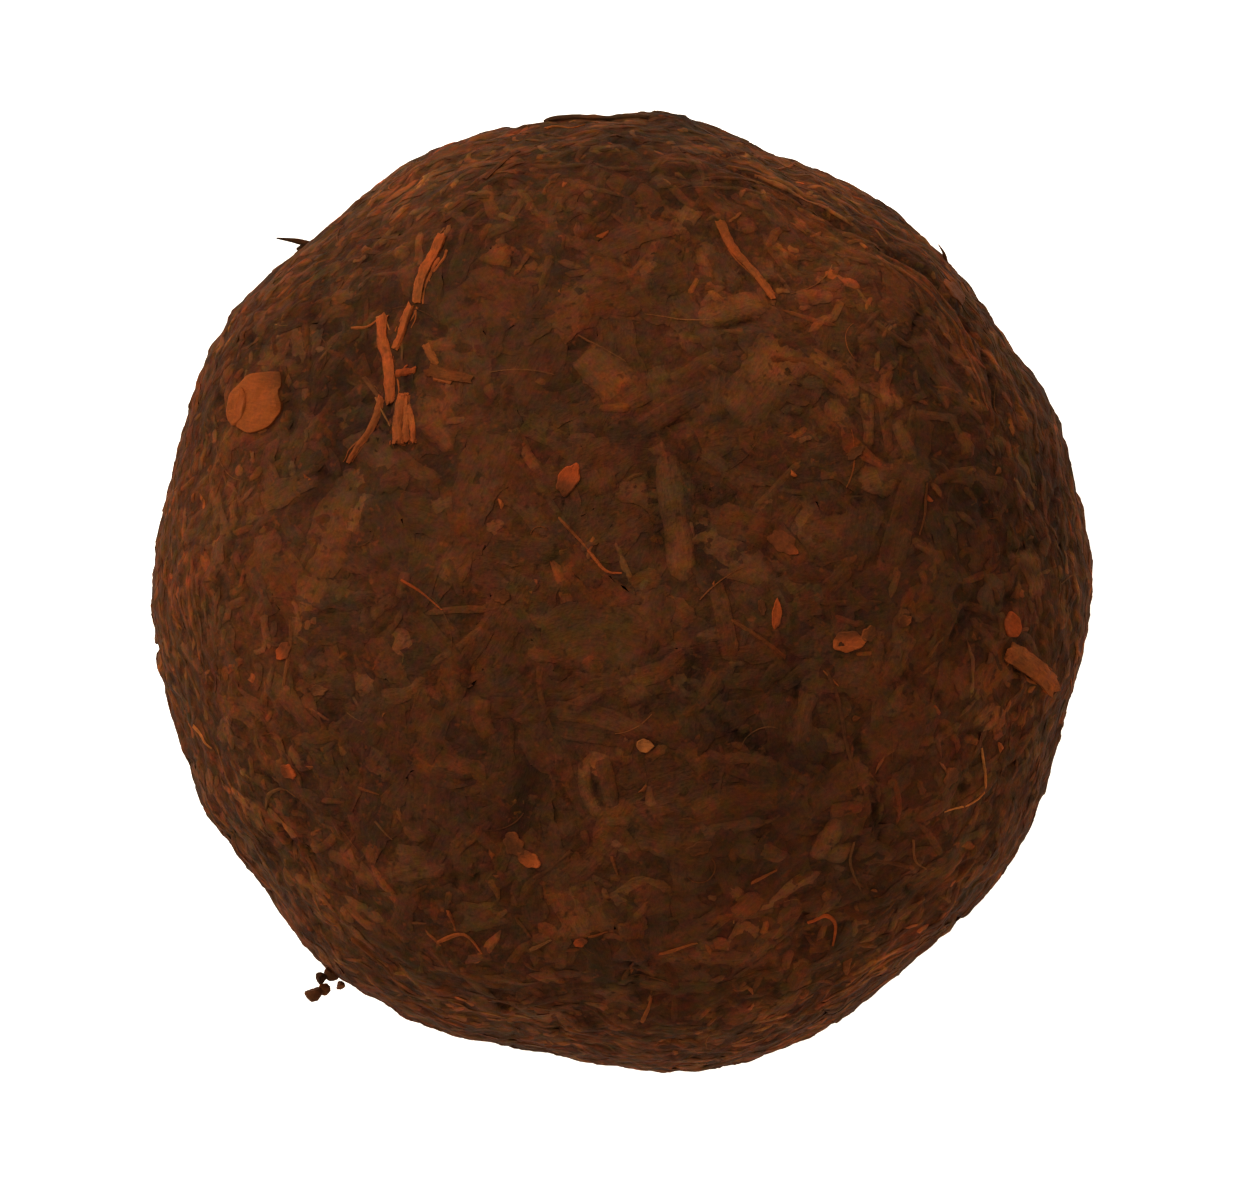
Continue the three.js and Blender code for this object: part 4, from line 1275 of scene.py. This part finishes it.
class Nodes:
    """A short way to build a node tree."""

    def __init__(self, name):
        self.material = bpy.data.materials.new(name)
        self.material.use_nodes = True
        self.tree = self.material.node_tree
        self.tree.nodes.clear()

    def add(self, kind, inputs=None, **settings):
        node = self.tree.nodes.new(kind)
        for key, value in settings.items():
            setattr(node, key, value)
        for key, value in (inputs or {}).items():
            if isinstance(value, bpy.types.NodeSocket):
                self.tree.links.new(value, node.inputs[key])
            else:
                node.inputs[key].default_value = value
        return node

    def maths(self, operation, first, second=0.0):
        return self.add("ShaderNodeMath", {0: first, 1: second}, operation=operation).outputs[0]

    def noise(self, vector, scale, detail=3.0, roughness=0.6, offset=None):
        if offset:
            vector = self.add("ShaderNodeMapping", {"Vector": vector, "Location": offset}).outputs[0]
        return self.add("ShaderNodeTexNoise", {
            "Vector": vector, "Scale": scale, "Detail": detail, "Roughness": roughness,
        }).outputs["Fac"]

    def between(self, value, low, high, out_low, out_high):
        return self.add("ShaderNodeMapRange", {
            "Value": value, "From Min": low, "From Max": high, "To Min": out_low, "To Max": out_high,
        }, clamp=True).outputs["Result"]

    def times(self, colour, factor):
        return self.add("ShaderNodeVectorMath", {0: colour, 1: factor}, operation="MULTIPLY").outputs[0]

    def mixed(self, factor, first, second):
        return self.add("ShaderNodeMix", {0: factor, 6: first, 7: second}, data_type="RGBA").outputs[2]


# Patterns on tea, from the finest to the coarsest, in cells to a metre.
FINE, LINES, MEDIUM, SHADED_PITS = 3200, 2300, 1500, 1250
PATCHY, SPECKS, WARMER, BROAD = 1150, 1000, 950, 650
# What a noise that lies mostly between these is stretched from.
NOISE_RANGE = (0.3, 0.7)
# The grain runs along a piece: how much the pattern is drawn out along it and across it.
GRAIN_SCALE = (0.8, 4.6, 1.0)
TEA_ROUGHNESS = (0.66, 0.9)
TEA_SHINE = 0.012
# What tea is multiplied by where it is darkest and where it is lightest. Light tea is redder.
SHADE = (0.56, 0.66, 0.79, 1.0)
GLOW = (1.56, 1.39, 1.20, 1.0)
# The same from olive to red patches.
OLIVE = (0.88, 1.10, 1.06, 1.0)
RED = (1.16, 0.91, 0.95, 1.0)
# And from rosy to golden patches.
ROSY = (1.02, 0.97, 1.22, 1.0)
GOLDEN = (1.00, 1.05, 0.72, 1.0)
FLECK = (0.17, 0.034, 0.0085, 1.0)
# Painted shade of small pits: the dark that spots are mixed towards.
PIT_SHADE = (0.026, 0.0100, 0.0040, 1.0)


def tea_material(name, streak=0.5, mottle=0.45, fleck=0.45, crumple=0.00018, grit=0.00008,
                 fibre=0.00010, pit_shade=0.7, veins=0.0, chroma=1.0, grain=True):
    """Dry pressed tea: each piece's own colour, streaked along its grain, mottled, darkened in small
    spots as painted shade of pits, and flecked, over a crumpled and fibrous surface. Broad leaves also
    have a midrib and side veins."""
    nodes = Nodes(name)
    colour = nodes.add("ShaderNodeAttribute", attribute_name=COLOUR).outputs["Color"]
    place = nodes.add("ShaderNodeTexCoord").outputs["Object"]
    broad = nodes.noise(place, BROAD)
    medium = nodes.noise(place, MEDIUM)
    fine = nodes.noise(place, FINE)
    hues = 0.5 - 0.5 * chroma, 0.5 + 0.5 * chroma
    patches = nodes.noise(place, PATCHY, offset=(0.031, 0.017, 0.053))
    warmer = nodes.noise(place, WARMER, offset=(0.019, 0.061, 0.007))
    lines = nodes.noise(place, LINES)
    if grain:
        run = nodes.add("ShaderNodeUVMap", uv_map=GRAIN_MAP).outputs["UV"]
        drawn = nodes.add("ShaderNodeMapping", {"Vector": run, "Scale": GRAIN_SCALE}).outputs[0]
        lines = nodes.noise(drawn, 1.0, 4.0, 0.65)
    light = nodes.between(lines, *NOISE_RANGE, -streak, streak)
    for pattern, more in ((broad, mottle), (medium, mottle), (fine, 0.5)):
        light = nodes.maths("ADD", light, nodes.between(pattern, *NOISE_RANGE, -more, more))
    tinted = nodes.times(colour, nodes.mixed(nodes.between(light, -1.6, 1.6, 0.0, 1.0), SHADE, GLOW))
    tinted = nodes.times(tinted, nodes.mixed(nodes.between(patches, 0.34, 0.66, *hues), OLIVE, RED))
    tinted = nodes.times(tinted, nodes.mixed(nodes.between(warmer, 0.36, 0.64, *hues), ROSY, GOLDEN))
    # Painted shade: dark spots where small pits would be.
    pit_shade_mask = nodes.noise(place, SHADED_PITS, 2.0, 0.5, offset=(0.011, 0.047, 0.029))
    tinted = nodes.mixed(nodes.between(pit_shade_mask, 0.61, 0.74, 0.0, pit_shade), tinted, PIT_SHADE)
    specks = nodes.noise(place, SPECKS, 2.0, 0.55, offset=(0.071, 0.013, 0.037))
    tinted = nodes.mixed(nodes.between(specks, 0.64, 0.76, 0.0, fleck), tinted, FLECK)
    relief = nodes.maths("MULTIPLY", broad, crumple)
    heights = [(medium, 0.6 * crumple), (fine, grit), (lines, fibre)]
    if veins:
        heights.append((leaf_veins(nodes, run), veins))
    for pattern, height in heights:
        relief = nodes.maths("ADD", relief, nodes.maths("MULTIPLY", pattern, height))
    surface = nodes.add("ShaderNodeBump", {"Strength": 1.0, "Distance": 1.0, "Height": relief})
    skin = nodes.add("ShaderNodeBsdfPrincipled", {
        "Base Color": tinted, "Roughness": nodes.between(fine, *NOISE_RANGE, *TEA_ROUGHNESS),
        "Specular IOR Level": TEA_SHINE, "Normal": surface.outputs[0],
    })
    nodes.add("ShaderNodeOutputMaterial", {"Surface": skin.outputs[0]})
    return nodes.material


# Millimetres from one side vein to the next.
VEIN_GAP = 1.7


def leaf_veins(nodes, run):
    """1 on the midrib and on the side veins that leave it aslant, fading to 0 between them."""
    parts = nodes.add("ShaderNodeSeparateXYZ", {0: run}).outputs
    away = nodes.maths("ABSOLUTE", parts[1])
    midrib = nodes.between(away, 0.05, 0.22, 1.0, 0.0)
    slant = nodes.maths("SUBTRACT", parts[0], nodes.maths("MULTIPLY", away, 1.1))
    wander = nodes.maths("MULTIPLY", nodes.noise(run, 0.5, 2.0, 0.5), 2.4)
    turn = nodes.maths("MULTIPLY", nodes.maths("ADD", slant, wander), TURN / VEIN_GAP)
    side = nodes.between(nodes.maths("SINE", turn), 0.82, 1.0, 0.0, 0.55)
    return nodes.maths("MAXIMUM", midrib, side)


def floor_material(name):
    """A matt, pale surface that glows a little, so that it shows white."""
    nodes = Nodes(name)
    skin = nodes.add("ShaderNodeBsdfPrincipled", {
        "Base Color": FLOOR_COLOUR, "Roughness": 0.9, "Specular IOR Level": 0.1,
        "Emission Color": FLOOR_GLOW_COLOUR, "Emission Strength": FLOOR_GLOW})
    nodes.add("ShaderNodeOutputMaterial", {"Surface": skin.outputs[0]})
    return nodes.material


# ---- The whole bed ----

# Parts of a split stem or strand that would be a shorter share of it than this are left out.
SHORTEST_SHARE = 0.3
LARGE_LEAF_THICKNESS = 0.17
STRANDS = 7
# Rings along a loose stem and along a twig or a hair.
STEM_STATIONS, TWIG_STATIONS = 10, 14


def split_lines(route, thickness, parts, shares, rng, steps=12, bends=6):
    """Thinner lines side by side along a route, and their widths. Each starts, ends and wanders
    by itself."""
    line = along_curve(route, steps)
    ahead = unit(np.gradient(line, axis=0))
    aside = np.stack([-ahead[:, 1], ahead[:, 0]], 1)
    long = np.linalg.norm(np.diff(line, axis=0), axis=1).sum()
    for _ in range(parts):
        first, last = sorted(rng.uniform(-0.06, 1.06, 2))
        if last - first < SHORTEST_SHARE:
            continue
        place = np.linspace(first, last, bends)
        off = rng.uniform(-0.45, 0.45) + rng.normal(0, 0.09, bends).cumsum()
        at = np.stack([
            np.interp(place, np.linspace(0, 1, steps), values)
            for values in (*line.T, *ahead.T, *aside.T)], 1)
        over = (np.clip(place - 1, 0, None) + np.clip(place, None, 0)) * long
        route = at[:, :2] + at[:, 2:4] * over[:, None] + at[:, 4:] * off[:, None] * thickness
        yield route, thickness * rng.uniform(*shares)


def splintered(rng):
    """Every twig as the broken core of a stem with splinters along it that part at their ends:
    routes, widths, tapers, how deep they are sunk, and tones."""
    rows = []
    for route, thickness, taper, bury, tone in TWIGS:
        rows.append((route, 0.9 * thickness, taper, bury, tone))
        long = math.dist(route[0], route[-1])
        for line, width in split_lines(route, thickness, int(3 + min(long, 3)), (0.16, 0.34), rng):
            own = tone if rng.random() < 0.6 else "bark"
            rows.append((line, width, rng.uniform(0.25, 0.7), bury - rng.uniform(-0.1, 0.2), own))
    return rows


def stranded(rng):
    """Every long strand at the rim as a few thin ones: routes, widths and tones."""
    rows = []
    for route, width, tone in RIM_STRANDS:
        for line, own_width in split_lines(route, width, STRANDS, (0.25, 0.55), rng):
            rows.append((line, own_width, tone if rng.random() < 0.6 else "red"))
    return rows


class Plan:
    """The whole bed, laid once and shared by the operators that make its pieces."""

    made = None

    def __init__(self, scene):
        self.leaves, self.tones = scene.tuocha_leaves, scene.tuocha_tones
        self.skin = skin = Skin(scene.tuocha_shape)
        self.bed = bed = Bed(skin)
        rng = draws("layers")
        batches = {name: [] for name in KINDS}
        for name, share in LAYERS:
            count = int(getattr(self.leaves, name) * share)
            batches[name].append(lay_random(skin, bed, KINDS[name], count, rng))
        self.laid = {
            name: {key: np.concatenate([batch[key] for batch in parts]) for key in parts[0]}
            for name, parts in batches.items()}
        rng = draws("standing_out")
        self.laid["large_leaf"] = lay_named(
            skin, bed, LARGE_LEAF, LARGE_LEAVES,
            lambda width: np.full(len(width), LARGE_LEAF_THICKNESS), rng)
        strands = stranded(rng)
        self.strand_tones = [tone for *_, tone in strands]
        self.laid["rim_strand"] = lay_named(
            skin, bed, RIM_STRAND, strands, lambda width: 0.09 + 0.17 * width, rng)
        self.lay_stems(draws("stems"))
        for route, width, depth in CREASES:
            bed.crease(route, width, depth)
        bed.random_creases(self.leaves.creases, draws("creases"))
        bed.press(self.leaves)

    def lay_stems(self, rng):
        """Lays the loose stems, then the broken twigs, then the hairs over them."""
        skin, bed = self.skin, self.bed
        path, length, radius = random_rods(
            skin, self.leaves.stems, (2.0, 6.0), (0.16, 0.34), 0.4, STEM_STATIONS, rng)
        radius = radius * (1 + rng.normal(0, 0.05, (len(length), STEM_STATIONS)))
        self.laid["stem"] = lay_rods(
            skin, bed, path, length, radius, rng, sides=9, bury=0.85, split=0.12)
        rows = splintered(rng)
        self.twig_tones = [tone for *_, tone in rows]
        path, length = routed(skin, [row[0] for row in rows], TWIG_STATIONS, TWIG_LIFT)
        width, taper, bury = (column(rows, index)[:, None] for index in (1, 2, 3))
        share = np.linspace(0, 1, TWIG_STATIONS)[None]
        radius = width / 2 * blend(1, taper, share)
        radius = radius * (1 + rng.normal(0, 0.07, radius.shape))
        self.laid["twig"] = lay_rods(
            skin, bed, path, length, radius, rng, sides=12, bury=bury, split=0.1)
        extra = [route for route, _, _ in FIBRES], [width / 2 for _, width, _ in FIBRES]
        path, length, radius = random_rods(
            skin, self.leaves.hairs, (1.5, 6.0), (0.045, 0.085), 1.6, TWIG_STATIONS, rng, extra)
        radius = radius * np.interp(share, (0, 0.2, 1), (0.75, 1, 0.45))
        self.laid["hair"] = lay_rods(
            skin, bed, path, length, radius, rng, sides=6, bury=0.35, soften=0.25, span=0.15)


def made_plan():
    """The bed, laid when it is first asked for."""
    if Plan.made is None:
        Plan.made = Plan(bpy.context.scene)
    return Plan.made


# How much of its own tone a piece keeps at its edge.
EDGE_ON_CROWN, EDGE_AT_RIM = 0.2, 0.6


def sheet_object(name, laid, colour, material, edge=EDGE_ON_CROWN):
    """The pieces of a kind. Towards its edges a pressed piece takes the tone of the bed. At the rim the
    pieces differ more. Where a piece lies deep among others it is painted darker as shade."""
    plan = made_plan()
    points, depth = settle_sheets(plan.bed, laid)
    rim = rim_share(plan.skin, laid["run"].mean((1, 2)))[:, None, None]
    uneven = np.random.default_rng(len(rim)).normal(0, 0.16, rim.shape)
    own = blend(blend(edge, EDGE_AT_RIM, rim), 1, laid["inner"])[..., None]
    colour = colour[:, None, None] * np.exp(rim * uneven)[..., None]
    colour = blend(np.array(plan.tones.brown[:]), colour, own)
    ring_mesh(name, points, shaded(colour, depth), laid["along"], laid["across"], material)


def rod_object(name, laid, colour, material):
    """The stems, twigs or hairs as one mesh, painted darker on their undersides as shade."""
    points, depth = settle_rods(made_plan().bed, laid)
    colour = colour[:, None, None] * np.ones((1, *depth.shape[1:], 1))
    ring_mesh(name, points, shaded(colour, depth), laid["along"], laid["across"], material)


# ---- Operators ----

# How many sides the core has, and which points of the section it is turned from: one in so many.
CORE_SIDES, CORE_EVERY = 96, 4
# How closely it follows the leaves, how far it stays under their tops, how far it dips between
# them, and how much darker it is than they are.
CORE_DRAPE, CORE_UNDER, CORE_DIP, CORE_TONE = 0.22, 0.1, 0.4, 0.85
# The studio, in metres.
FLOOR_SIZE = 3.0
FLOOR_DROP = 0.0002
FLOOR_COLOUR = (0.93, 0.93, 0.93, 1)
FLOOR_GLOW = 1.3
FLOOR_GLOW_COLOUR = (1, 0.9, 0.75, 1)
SKY_COLOUR = (0.98, 1.0, 1.02, 1)
KEY_COLOUR = (1.0, 0.92, 0.84)
KEY_SIZE = 0.6
KEY_PLACE = (-0.42, 0.44, 0.52)
SENSOR_WIDTH = 36
NEAREST, FARTHEST = 0.01, 10

class TUOCHA_OT_core(bpy.types.Operator):
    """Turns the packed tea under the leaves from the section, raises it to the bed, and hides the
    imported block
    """
    bl_idname = "tuocha.core"
    bl_label = "Packed core"

    def execute(self, context):
        plan = made_plan()
        levels = plan.skin.line[1:-1:CORE_EVERY]
        bpy.ops.object.select_all(action="DESELECT")
        bpy.ops.mesh.primitive_circle_add(
            vertices=CORE_SIDES, radius=levels[0][0] * MM, fill_type="NGON",
            location=(0, 0, levels[0][1] * MM))
        core = context.active_object
        core.name = core.data.name = "packed_core"
        bpy.ops.object.mode_set(mode="EDIT")
        for (radius, level), (next_radius, next_level) in zip(levels, levels[1:]):
            bpy.ops.mesh.extrude_region_move(
                TRANSFORM_OT_translate={"value": (0, 0, (next_level - level) * MM)})
            ratio = next_radius / radius
            bpy.ops.transform.resize(value=(ratio, ratio, 1), center_override=(0, 0, next_level * MM))
        bpy.ops.mesh.select_all(action="SELECT")
        bpy.ops.mesh.normals_make_consistent(inside=False)
        bpy.ops.object.mode_set(mode="OBJECT")
        bpy.ops.object.transform_apply()
        remesh = core.modifiers.new("Even faces", "REMESH")
        remesh.mode = "VOXEL"
        remesh.voxel_size = plan.leaves.core_voxel
        bpy.ops.object.modifier_apply(modifier=remesh.name)
        self.raise_to_bed(core.data, plan)
        core.data.materials.append(tea_material("packed tea", crumple=0.00024, grain=False))
        bpy.ops.object.shade_smooth()
        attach(core, BODY)
        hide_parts(NODE)
        return {"FINISHED"}

    @staticmethod
    def raise_to_bed(mesh, plan):
        """Moves each point of the core to just under the leaves over it, and tints it, painted darker
        as shade where it lies deep.
        """
        skin, bed = plan.skin, plan.bed
        count = len(mesh.vertices)
        points = np.empty(count * 3)
        mesh.vertices.foreach_get("co", points)
        run, azimuth = skin.find(points.reshape(-1, 3) / MM)
        side = bed.side_of(run)
        top = bed.sample(bed.blur(bed.heights, CORE_DRAPE), run, azimuth, side)
        height = np.maximum(top - CORE_UNDER, bed.sample(bed.level, run, azimuth, side) - CORE_DIP)
        foot, out, height, depth = bed.settled(run, azimuth, side, height)
        settled = foot + out * height[:, None]
        settled[:, 2] = np.maximum(settled[:, 2], LOWEST)
        mesh.vertices.foreach_set("co", (settled * MM + axis_shift()).ravel())
        tone = np.array(plan.tones.brown[:])[None] * CORE_TONE
        colour = shaded(tone, depth) * skin.tint(settled)
        colour = colour * np.exp(draws("core_tones").normal(0, 0.1, (count, 1)))
        paint(mesh, colour)
        mesh.update()


class TUOCHA_OT_leaves(bpy.types.Operator):
    """Makes the broad and the small leaves, and the large ones that stand out"""
    bl_idname = "tuocha.leaves"
    bl_label = "Pressed leaves"

    def execute(self, context):
        plan = made_plan()
        rng = draws("leaf_tones")
        material = tea_material("pressed leaf", veins=0.00002)
        for name, kind in (("broad_leaves", "broad_leaf"), ("small_leaves", "small_leaf")):
            colour = drawn_tones(plan, kind, LEAF_TONES, rng)
            sheet_object(name, plan.laid[kind], colour, material)
        colour = named_tones(plan.tones, [tone for _, _, tone in LARGE_LEAVES])
        sheet_object("large_leaves", plan.laid["large_leaf"], colour, material)
        return {"FINISHED"}


class TUOCHA_OT_strips(bpy.types.Operator):
    """Makes the rolled strips, and the long strands round the rim"""
    bl_idname = "tuocha.strips"
    bl_label = "Rolled strips"

    def execute(self, context):
        plan = made_plan()
        material = tea_material("rolled strip", streak=0.55)
        colour = drawn_tones(plan, "strip", STRIP_TONES, draws("strip_tones"))
        sheet_object("rolled_strips", plan.laid["strip"], colour, material, edge=EDGE_AT_RIM)
        colour = named_tones(plan.tones, plan.strand_tones)
        sheet_object("rim_strands", plan.laid["rim_strand"], colour, material)
        return {"FINISHED"}


class TUOCHA_OT_shreds(bpy.types.Operator):
    """Makes the short torn bits that fill in between"""
    bl_idname = "tuocha.shreds"
    bl_label = "Shreds"

    def execute(self, context):
        plan = made_plan()
        material = tea_material("leaf shred", fibre=0.00009)
        colour = drawn_tones(plan, "shred", SHRED_TONES, draws("shred_tones"))
        sheet_object("leaf_shreds", plan.laid["shred"], colour, material, edge=EDGE_AT_RIM)
        return {"FINISHED"}


class TUOCHA_OT_stems(bpy.types.Operator):
    """Makes the broken twigs, the loose stems, the fine hairs and the stray tips"""
    bl_idname = "tuocha.stems"
    bl_label = "Twigs and hairs"

    def execute(self, context):
        plan = made_plan()
        rng = draws("stem_tones")
        material = tea_material(
            "twig bark", streak=0.9, mottle=0.35, fleck=0.2, crumple=0.00012, fibre=0.00014, pit_shade=0.4,
            chroma=0.3)
        colour = named_tones(plan.tones, plan.twig_tones)
        rod_object("broken_twigs", plan.laid["twig"], colour, material)
        colour = drawn_tones(plan, "stem", STEM_TONES, rng)
        rod_object("loose_stems", plan.laid["stem"], colour, material)
        colour = np.concatenate([
            named_tones(plan.tones, [tone for _, _, tone in FIBRES]),
            toned(plan.tones, rng, plan.leaves.hairs, HAIR_TONES)])
        rod_object("fine_hairs", plan.laid["hair"], colour, material)
        self.stray_tips(plan, material)
        return {"FINISHED"}

    @staticmethod
    def stray_tips(plan, material, stations=8, sides=8, flat=0.6, grain_length=4):
        """Makes the tips that stand out past the outline, each thinner towards its end."""
        centre = np.stack([along_curve(route, stations) for route, _, _ in STRAY_TIPS])
        forward = unit(np.gradient(centre, axis=1))
        aside = unit(np.cross(forward, (0, 0, 1)))
        up = np.cross(aside, forward)
        thin = np.interp(np.linspace(0, 1, stations), (0, 0.4, 1), (0.9, 1, 0.25))
        radius = np.array([width / 2 for _, width, _ in STRAY_TIPS])[:, None] * thin
        angle = np.arange(sides) / sides * TURN
        ring = (aside[:, :, None] * np.cos(angle)[:, None]
                + flat * up[:, :, None] * np.sin(angle)[:, None])
        points = centre[:, :, None] + ring * radius[..., None, None]
        colour = named_tones(plan.tones, [tone for _, _, tone in STRAY_TIPS])
        colour = colour[:, None, None] * np.ones((1, stations, sides, 1))
        along = np.linspace(0, grain_length, stations)[None, :, None] + np.zeros(points.shape[:3])
        across = angle * radius[..., None]
        ring_mesh("stray_tips", points, colour, along, across, material)


class TUOCHA_OT_scales(bpy.types.Operator):
    """Models a bud scale and a chip, and lays copies of them"""
    bl_idname = "tuocha.scales"
    bl_label = "Bud scales, chips and crumbs"

    def execute(self, context):
        plan = made_plan()
        rng = draws("scales")
        material = tea_material(
            "bud scale", mottle=0.2, fleck=0.0, crumple=0.0001, pit_shade=0.1, chroma=0.25)
        self.scales(plan, material, rng)
        chip = modelled(chip_form)
        self.chips(plan, material, rng, chip)
        self.crumbs(plan, material, rng, chip)
        return {"FINISHED"}

    @staticmethod
    def scales(plan, material, rng):
        """The scales that stand out. Each is painted darker at its foot as shade, and one end may be
        worn.
        """
        points, faces = modelled(scale_form)
        shaped = shaped_scales(points, rng)
        x, y, length, width, heading, tone, thick, worn = (column(SCALES, i) for i in range(8))
        size = np.stack([length, width, thick], 1)
        points = wrapped(plan.bed, shaped, np.stack([x, y], 1), heading, size, 0.5 * thick[:, None])
        colour = named_tones(plan.tones, tone)[:, None]
        # Painted shade: darker towards the foot of each scale.
        colour = colour * blend(0.6, 1, smoothstep(0, 0.8, shaped[..., 2]))[..., None]
        turn = rng.uniform(0, TURN, (len(SCALES), 1))
        towards = shaped[..., 0] * np.cos(turn) + shaped[..., 1] * np.sin(turn)
        edge = 1.6 * worn[:, None]
        bare = smoothstep(edge - 0.75, edge - 0.25, towards)
        colour = blend(np.array(plan.tones.brown[:]), colour, blend(0.2, 1, bare)[..., None])
        copied_mesh("bud_scales", points, faces, colour, material)

    @staticmethod
    def chips(plan, material, rng, form):
        """Small chips strewn over the dome."""
        run, azimuth = spread(plan.skin, plan.leaves.chips, rng, 0.5)
        above = run < plan.skin.widest_run * 0.75
        foot, _ = plan.skin.at(run[above], azimuth[above])
        count = len(foot)
        size = rng.uniform(0.35, 1.1, (count, 1)) * np.stack([
            rng.uniform(0.9, 1.8, count), rng.uniform(0.5, 1, count), rng.uniform(0.25, 0.5, count)], 1)
        points = np.repeat(form[0][None], count, 0)
        points = wrapped(plan.bed, points, foot[:, :2], rng.uniform(0, TURN, count), size, 0.05)
        colour = toned(plan.tones, rng, count, CHIP_TONES)
        copied_mesh("bud_chips", points, form[1], evenly(colour, form[0]), material)

    @staticmethod
    def crumbs(plan, material, rng, form):
        """The few crumbs that cling beside the block, each turned its own way."""
        turned = np.stack([form[0] @ random_turn(rng) for _ in CRUMBS])
        place = np.array([crumb[:3] for crumb in CRUMBS])
        points = place[:, None] + turned * column(CRUMBS, 3)[:, None, None]
        colour = toned(plan.tones, rng, len(CRUMBS), CRUMB_TONES)
        copied_mesh("clinging_crumbs", points, form[1], evenly(colour, form[0]), material)


class TUOCHA_OT_studio(bpy.types.Operator):
    """Sets the pale floor, the soft light and the camera straight above"""
    bl_idname = "tuocha.studio"
    bl_label = "Floor, light and camera"

    def execute(self, context):
        scene = context.scene
        studio, shape = scene.tuocha_studio, scene.tuocha_shape
        bpy.ops.object.select_all(action="DESELECT")
        bpy.ops.mesh.primitive_plane_add(size=FLOOR_SIZE, location=(0, 0, -FLOOR_DROP))
        floor = context.active_object
        floor.name = floor.data.name = "floor"
        bpy.ops.object.transform_apply()
        floor.data.materials.append(floor_material("pale floor"))

        world = scene.world or bpy.data.worlds.new("Studio")
        scene.world = world
        world.use_nodes = True
        background = world.node_tree.nodes["Background"]
        background.inputs["Color"].default_value = SKY_COLOUR
        background.inputs["Strength"].default_value = studio.sky
        light = bpy.data.lights.new("key", "AREA")
        light.energy, light.size, light.color = studio.key, KEY_SIZE, KEY_COLOUR
        lamp = bpy.data.objects.new("key", light)
        scene.collection.objects.link(lamp)
        lamp.location = KEY_PLACE
        lamp.rotation_euler = (-lamp.location).to_track_quat("-Z", "Y").to_euler()

        camera = bpy.data.cameras.new("camera")
        camera.lens, camera.sensor_width = studio.lens, SENSOR_WIDTH
        camera.clip_start, camera.clip_end = NEAREST, FARTHEST
        eye = bpy.data.objects.new("camera", camera)
        scene.collection.objects.link(eye)
        distance = studio.frame_width * studio.lens / camera.sensor_width
        eye.location = (
            shape.axis[0] + studio.offset[0], shape.axis[1] + studio.offset[1], shape.widest + distance)
        scene.camera = eye
        scene.view_settings.view_transform = "Standard"
        return {"FINISHED"}


class TUOCHA_PT_panel(bpy.types.Panel):
    """Lists the block's pieces in the sidebar"""
    bl_label = "Tuocha"
    bl_idname = "TUOCHA_PT_panel"
    bl_space_type = "VIEW_3D"
    bl_region_type = "UI"
    bl_category = "Tuocha"

    def draw(self, context):
        for operator in OPERATORS:
            self.layout.operator(operator.bl_idname)
        for group in GROUPS:
            settings = getattr(context.scene, group)
            box = self.layout.box()
            for name in settings.bl_rna.properties.keys():
                if name not in ("rna_type", "name"):
                    box.prop(settings, name)


GROUPS = {
    "tuocha_shape": TuochaShape,
    "tuocha_leaves": TuochaLeaves,
    "tuocha_tones": TuochaTones,
    "tuocha_studio": TuochaStudio,
}
OPERATORS = (
    TUOCHA_OT_studio, TUOCHA_OT_core, TUOCHA_OT_leaves, TUOCHA_OT_strips, TUOCHA_OT_shreds,
    TUOCHA_OT_stems, TUOCHA_OT_scales,
)


def register():
    for kind in (*GROUPS.values(), *OPERATORS, TUOCHA_PT_panel):
        bpy.utils.register_class(kind)
    for name, group in GROUPS.items():
        setattr(bpy.types.Scene, name, PointerProperty(type=group))


def unregister():
    for name in GROUPS:
        delattr(bpy.types.Scene, name)
    for kind in (TUOCHA_PT_panel, *reversed(OPERATORS), *reversed(tuple(GROUPS.values()))):
        bpy.utils.unregister_class(kind)


def main():
    """Builds the whole scene: the studio, then every group of pieces in order."""
    register()
    bpy.ops.tuocha.studio()
    bpy.ops.tuocha.core()
    bpy.ops.tuocha.leaves()
    bpy.ops.tuocha.strips()
    bpy.ops.tuocha.shreds()
    bpy.ops.tuocha.stems()
    bpy.ops.tuocha.scales()


if __name__ == "__main__":
    main()
